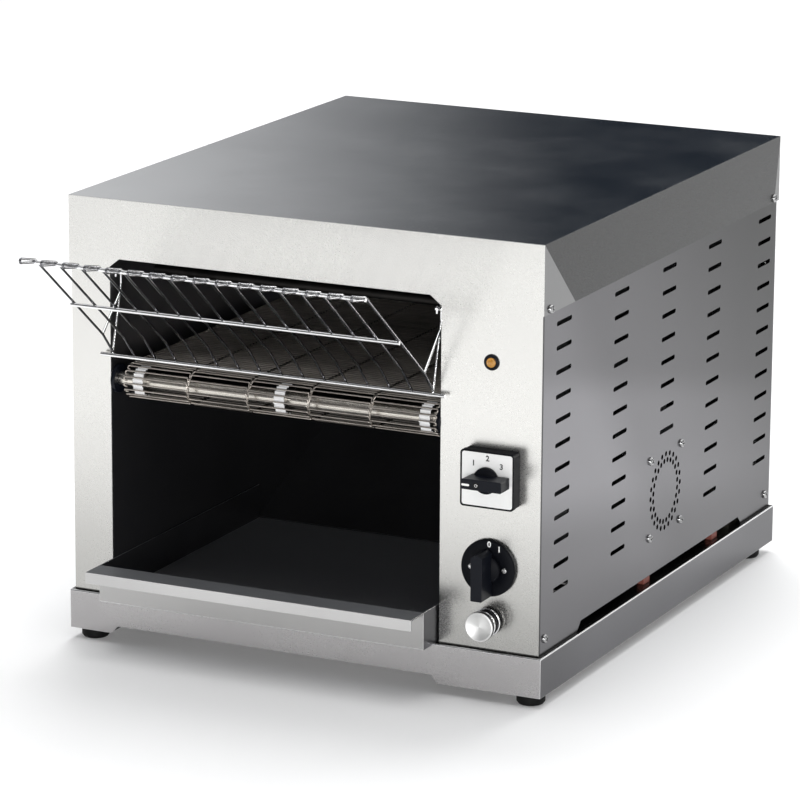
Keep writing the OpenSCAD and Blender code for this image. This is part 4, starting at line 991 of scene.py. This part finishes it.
# %% One belt wire on paper, and the belt
belt_left, belt_wide, lanes, pitch, belt_wires = -173.5, 304.0, 5, 5.8, 148
belt_r, belt_run, shaft_front, shaft_z = 14.865, 382.8, 13.0, 241.1
outer_lane, lane, side_step = 63.4, 59.07, 0.6
edge_curl = [(3.6, -0.56, -0.9), (2.4, -0.58, -0.9), (1.3, -0.50, -0.7), (0.8, -0.34, -0.3),
             (0.9, -0.16, 0.1), (1.6, -0.03, 0.2), (2.6, 0, 0.1), (3.6, 0, 0), (4.4, 0, 0)]
paper = [(belt_left + a, b * pitch, c) for a, b, c in edge_curl]
for k in range(1, lanes):
    before, after = side_step * ((k + 1) % 2), side_step * (k % 2)
    border = belt_left + outer_lane + (k - 1) * lane
    hook = [(-2.6, before, 0), (-1.7, before, 0), (-1.0, before - 0.1, -0.4), (-0.6, before - 0.7, -0.9),
            (0.6, after - 0.7, -0.9), (1.0, after - 0.1, -0.4), (1.7, after, 0), (2.6, after, 0)]
    paper += [(border + a, b * pitch, c) for a, b, c in hook]
last_step = side_step * ((lanes + 1) % 2)
paper += [(belt_left + belt_wide - a, (b + last_step) * pitch, c) for a, b, c in reversed(edge_curl)]
paper_mesh = lines("belt_weave", [(a / 1000, b / 1000, c / 1000) for a, b, c in paper])
loop_length = 2 * belt_run + 2 * math.pi * belt_r
belt = built("belt_weave", belt_tree, paper_mesh, wires=belt_wires, pitch=loop_length / belt_wires / 1000,
             run=belt_run / 1000, radius=belt_r / 1000, front=shaft_front / 1000 + lid_front,
             height=shaft_z / 1000, diameter=0.0015, sides=6, finish=belt_steel)
# Painted shade: wires of the lower run behind the front shaft take the dark belt finish.
belt.data.materials.append(belt_shade)
shade_edge = at(0, shaft_front - 6, 234)
for f in belt.data.polygons:
    f.material_index = int(f.center.z < shade_edge.z and f.center.y > shade_edge.y)
keep(belt, "body", "belt_wire", "wire_belt")
print("belt:", len(belt.data.polygons), "faces,", round(loop_length), "mm round")

# %% [markdown]
# ### Shafts, sprockets and drive
# These keep the model's shape and get broken edges. The roller chain is made of two master links that
# the first tree sets along the loop round both sprockets.

# %% Shafts, sprockets and drive parts


def wheel_faces(face):
    """The wheels' flat sides take the chain's dark finish as painted shade."""
    return chain_steel if abs(face.normal.x) > 0.7 else None


def rounded_set(rows, segments=3):
    """Rounded copies of nodes that need no other care: node, name, finish, body, slot, fold, edge."""
    for node, name, finish, body, slot, fold, edge in rows:
        rounded_copy(node, name, finish, body, slot, fold=fold, edge=edge, segments=segments)


for end in ("front", "rear"):
    rounded_copy(f"{end}_sprockets", f"{end}_belt_wheels", sprocket_steel, f"{end}_roller",
                 "sprocket_steel", fold=0.4, edge=0.3, faces=wheel_faces)
rounded_set((("front_shaft", "front_shaft_bar", shaft_steel, "front_roller", "bright_steel", 0.6, 0.6),
             ("rear_shaft", "rear_shaft_bar", steel_bright, "rear_roller", "bright_steel", 0.6, 0.6),
             ("chain_sprocket", "driven_chain_wheel", chain_steel, "rear_roller", "chain_steel", 0.4, 0.25),
             ("motor_sprocket", "motor_chain_wheel", chain_steel, "motor_drive", "chain_steel", 0.4, 0.25),
             ("shaft_bushes", "shaft_bush_set", black_gloss, "body", "black_plastic", 0.8, 0.6),
             ("gearbox", "gearbox_case", gear_case, "body", "gear_case", 2.0, 2.0),
             ("motor_bracket", "motor_bracket_sheet", steel_plain, "body", "satin_steel", 1.4, 0.25)))
print("shafts and wheels made")

# %% Chain
chain_x, driven_r, motor_r, motor_z, link_pitch, link_r, arc_steps = 149.5, 23.03, 15.45, 125.5, 8, 2.6, 24
slant = math.asin((driven_r - motor_r) / (shaft_z - motor_z))
shaft_back = shaft_front + belt_run
path = []
for r, z, start, turn in ((driven_r, shaft_z, -slant, math.pi + 2 * slant),
                          (motor_r, motor_z, math.pi + slant, math.pi - 2 * slant)):
    for i in range(arc_steps + 1):
        a = start + turn * i / arc_steps
        path.append((shaft_back + r * math.cos(a), z + r * math.sin(a)))
path.append(path[0])
lengths = [math.dist(a, b) for a, b in zip(path, path[1:])]
chain_length = sum(lengths)
link_count = 2 * round(chain_length / (2 * link_pitch))


def along_chain(distance):
    """The point at a distance along the chain's path."""
    for a, b, d in zip(path, path[1:], lengths):
        if distance <= d:
            return (a[0] + (b[0] - a[0]) * distance / d, a[1] + (b[1] - a[1]) * distance / d)
        distance -= d


def link_master(name, apart):
    """Two plates and two pins; the link lies along +Y from the origin."""
    bm = bmesh.new()
    eighths = [math.radians(d) for d in range(-90, 91, 45)]
    outline = [(link_pitch * (s > 0) + s * link_r * math.cos(a), s * link_r * math.sin(a))
               for s in (1, -1) for a in eighths]
    for s in (-1, 1):
        low, high = ([bm.verts.new((s * x / 1000, y / 1000, z / 1000)) for y, z in outline]
                     for x in (apart, apart + 0.9))
        bm.faces.new(low)
        bm.faces.new(high)
        for i in range(len(low)):
            bm.faces.new((low[i], low[i - 1], high[i - 1], high[i]))
    for y in (0, link_pitch):
        bmesh.ops.create_cone(bm, cap_ends=True, segments=8, radius1=0.0021, radius2=0.0021,
                              depth=2 * (apart + 0.6) / 1000,
                              matrix=Matrix.Translation((0, y / 1000, 0)) @ RIGHT)
    return off_stage(as_piece(name, bm, chain_steel, False))


pins = [along_chain(chain_length * i / link_count) for i in range(link_count)]
for kind, apart in ((0, 1.7), (1, 2.2)):
    spots = []
    for i in range(kind, link_count, 2):
        (y0, z0), (y1, z1) = pins[i], pins[(i + 1) % link_count]
        spots.append((chain_x, y0, z0, Matrix.Rotation(math.atan2(z1 - z0, y1 - y0), 4, "X"), 0))
    links = set_pieces(f"chain_links_{kind}", link_master(f"chain_link_{kind}", apart), spots, chain_steel)
    keep(links, "body", "chain_steel", *(["drive_chain"] if kind == 0 else []))
print("chain:", link_count, "links")

# %% [markdown]
# ### Motor, fan and small inner parts
# They show only through the slots and from the back, but they are looked at from there. The motor has
# cooling grooves; the rest keeps the model's shape and gets rounded edges.

# %% Motor, fan, gland and wiring parts
can = [(0, 0), (26.5, 0), (28, 1.5)]
for i in range(6):
    h = 5 * i
    can += [(28, h + 3), (28, h + 6)] + ([(26.6, h + 6.4), (26.6, h + 7.6)] if i < 5 else [])
can += [(28, 33), (26.8, 34), (0, 34)]
motor = turned("motor_can", can, (183.7, shaft_back, 115.5), RIGHT, motor_case, 56)
keep(motor, "body", "motor_case", "motor")
rounded_set((("fan_frame", "fan_frame_moulding", black_plastic, "body", "black_plastic", 0.8, 0.5),
             ("fan_rotor", "fan_rotor_moulding", black_plastic, "fan", "black_plastic", 0.5, 0.3)), 2)
rounded_set([(node, node + "_body", black_plastic, "body", "black_plastic", 0.6, 0.5)
             for node in ("selector_switch", "power_switch", "speed_control")])
rounded_set([(node, node + "_tubes", heater_sheath, "body", "heater", 0.8, 0.6)
             for node in ("upper_heaters", "lower_heaters")])
rounded_set((("terminal_block", "terminal_block_moulding", cream, "body", "cream_plastic", 0.8, 0.6),
             ("wire_clips", "wire_clip_pair", red_clip, "body", "red_plastic", 0.8, 0.8),
             ("foot_nuts", "foot_nut_set", steel_plain, "body", "bright_steel", 0.4, 0.3),
             ("cable_gland", "cable_gland_moulding", black_plastic, "body", "black_plastic", 0.8, 0.6),
             ("heater_collars", "heater_collar_set", ceramic, "body", "ceramic", 0.6, 0.5)))
print("inner parts made")

# %% [markdown]
# ## Last checks
# Every node of the model must be replaced or finished; the cell prints the nodes that still show.

# %% Nodes left over
left_over = [n for n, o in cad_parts.items() if not o.hide_render]
print("nodes without a piece of their own:", left_over)
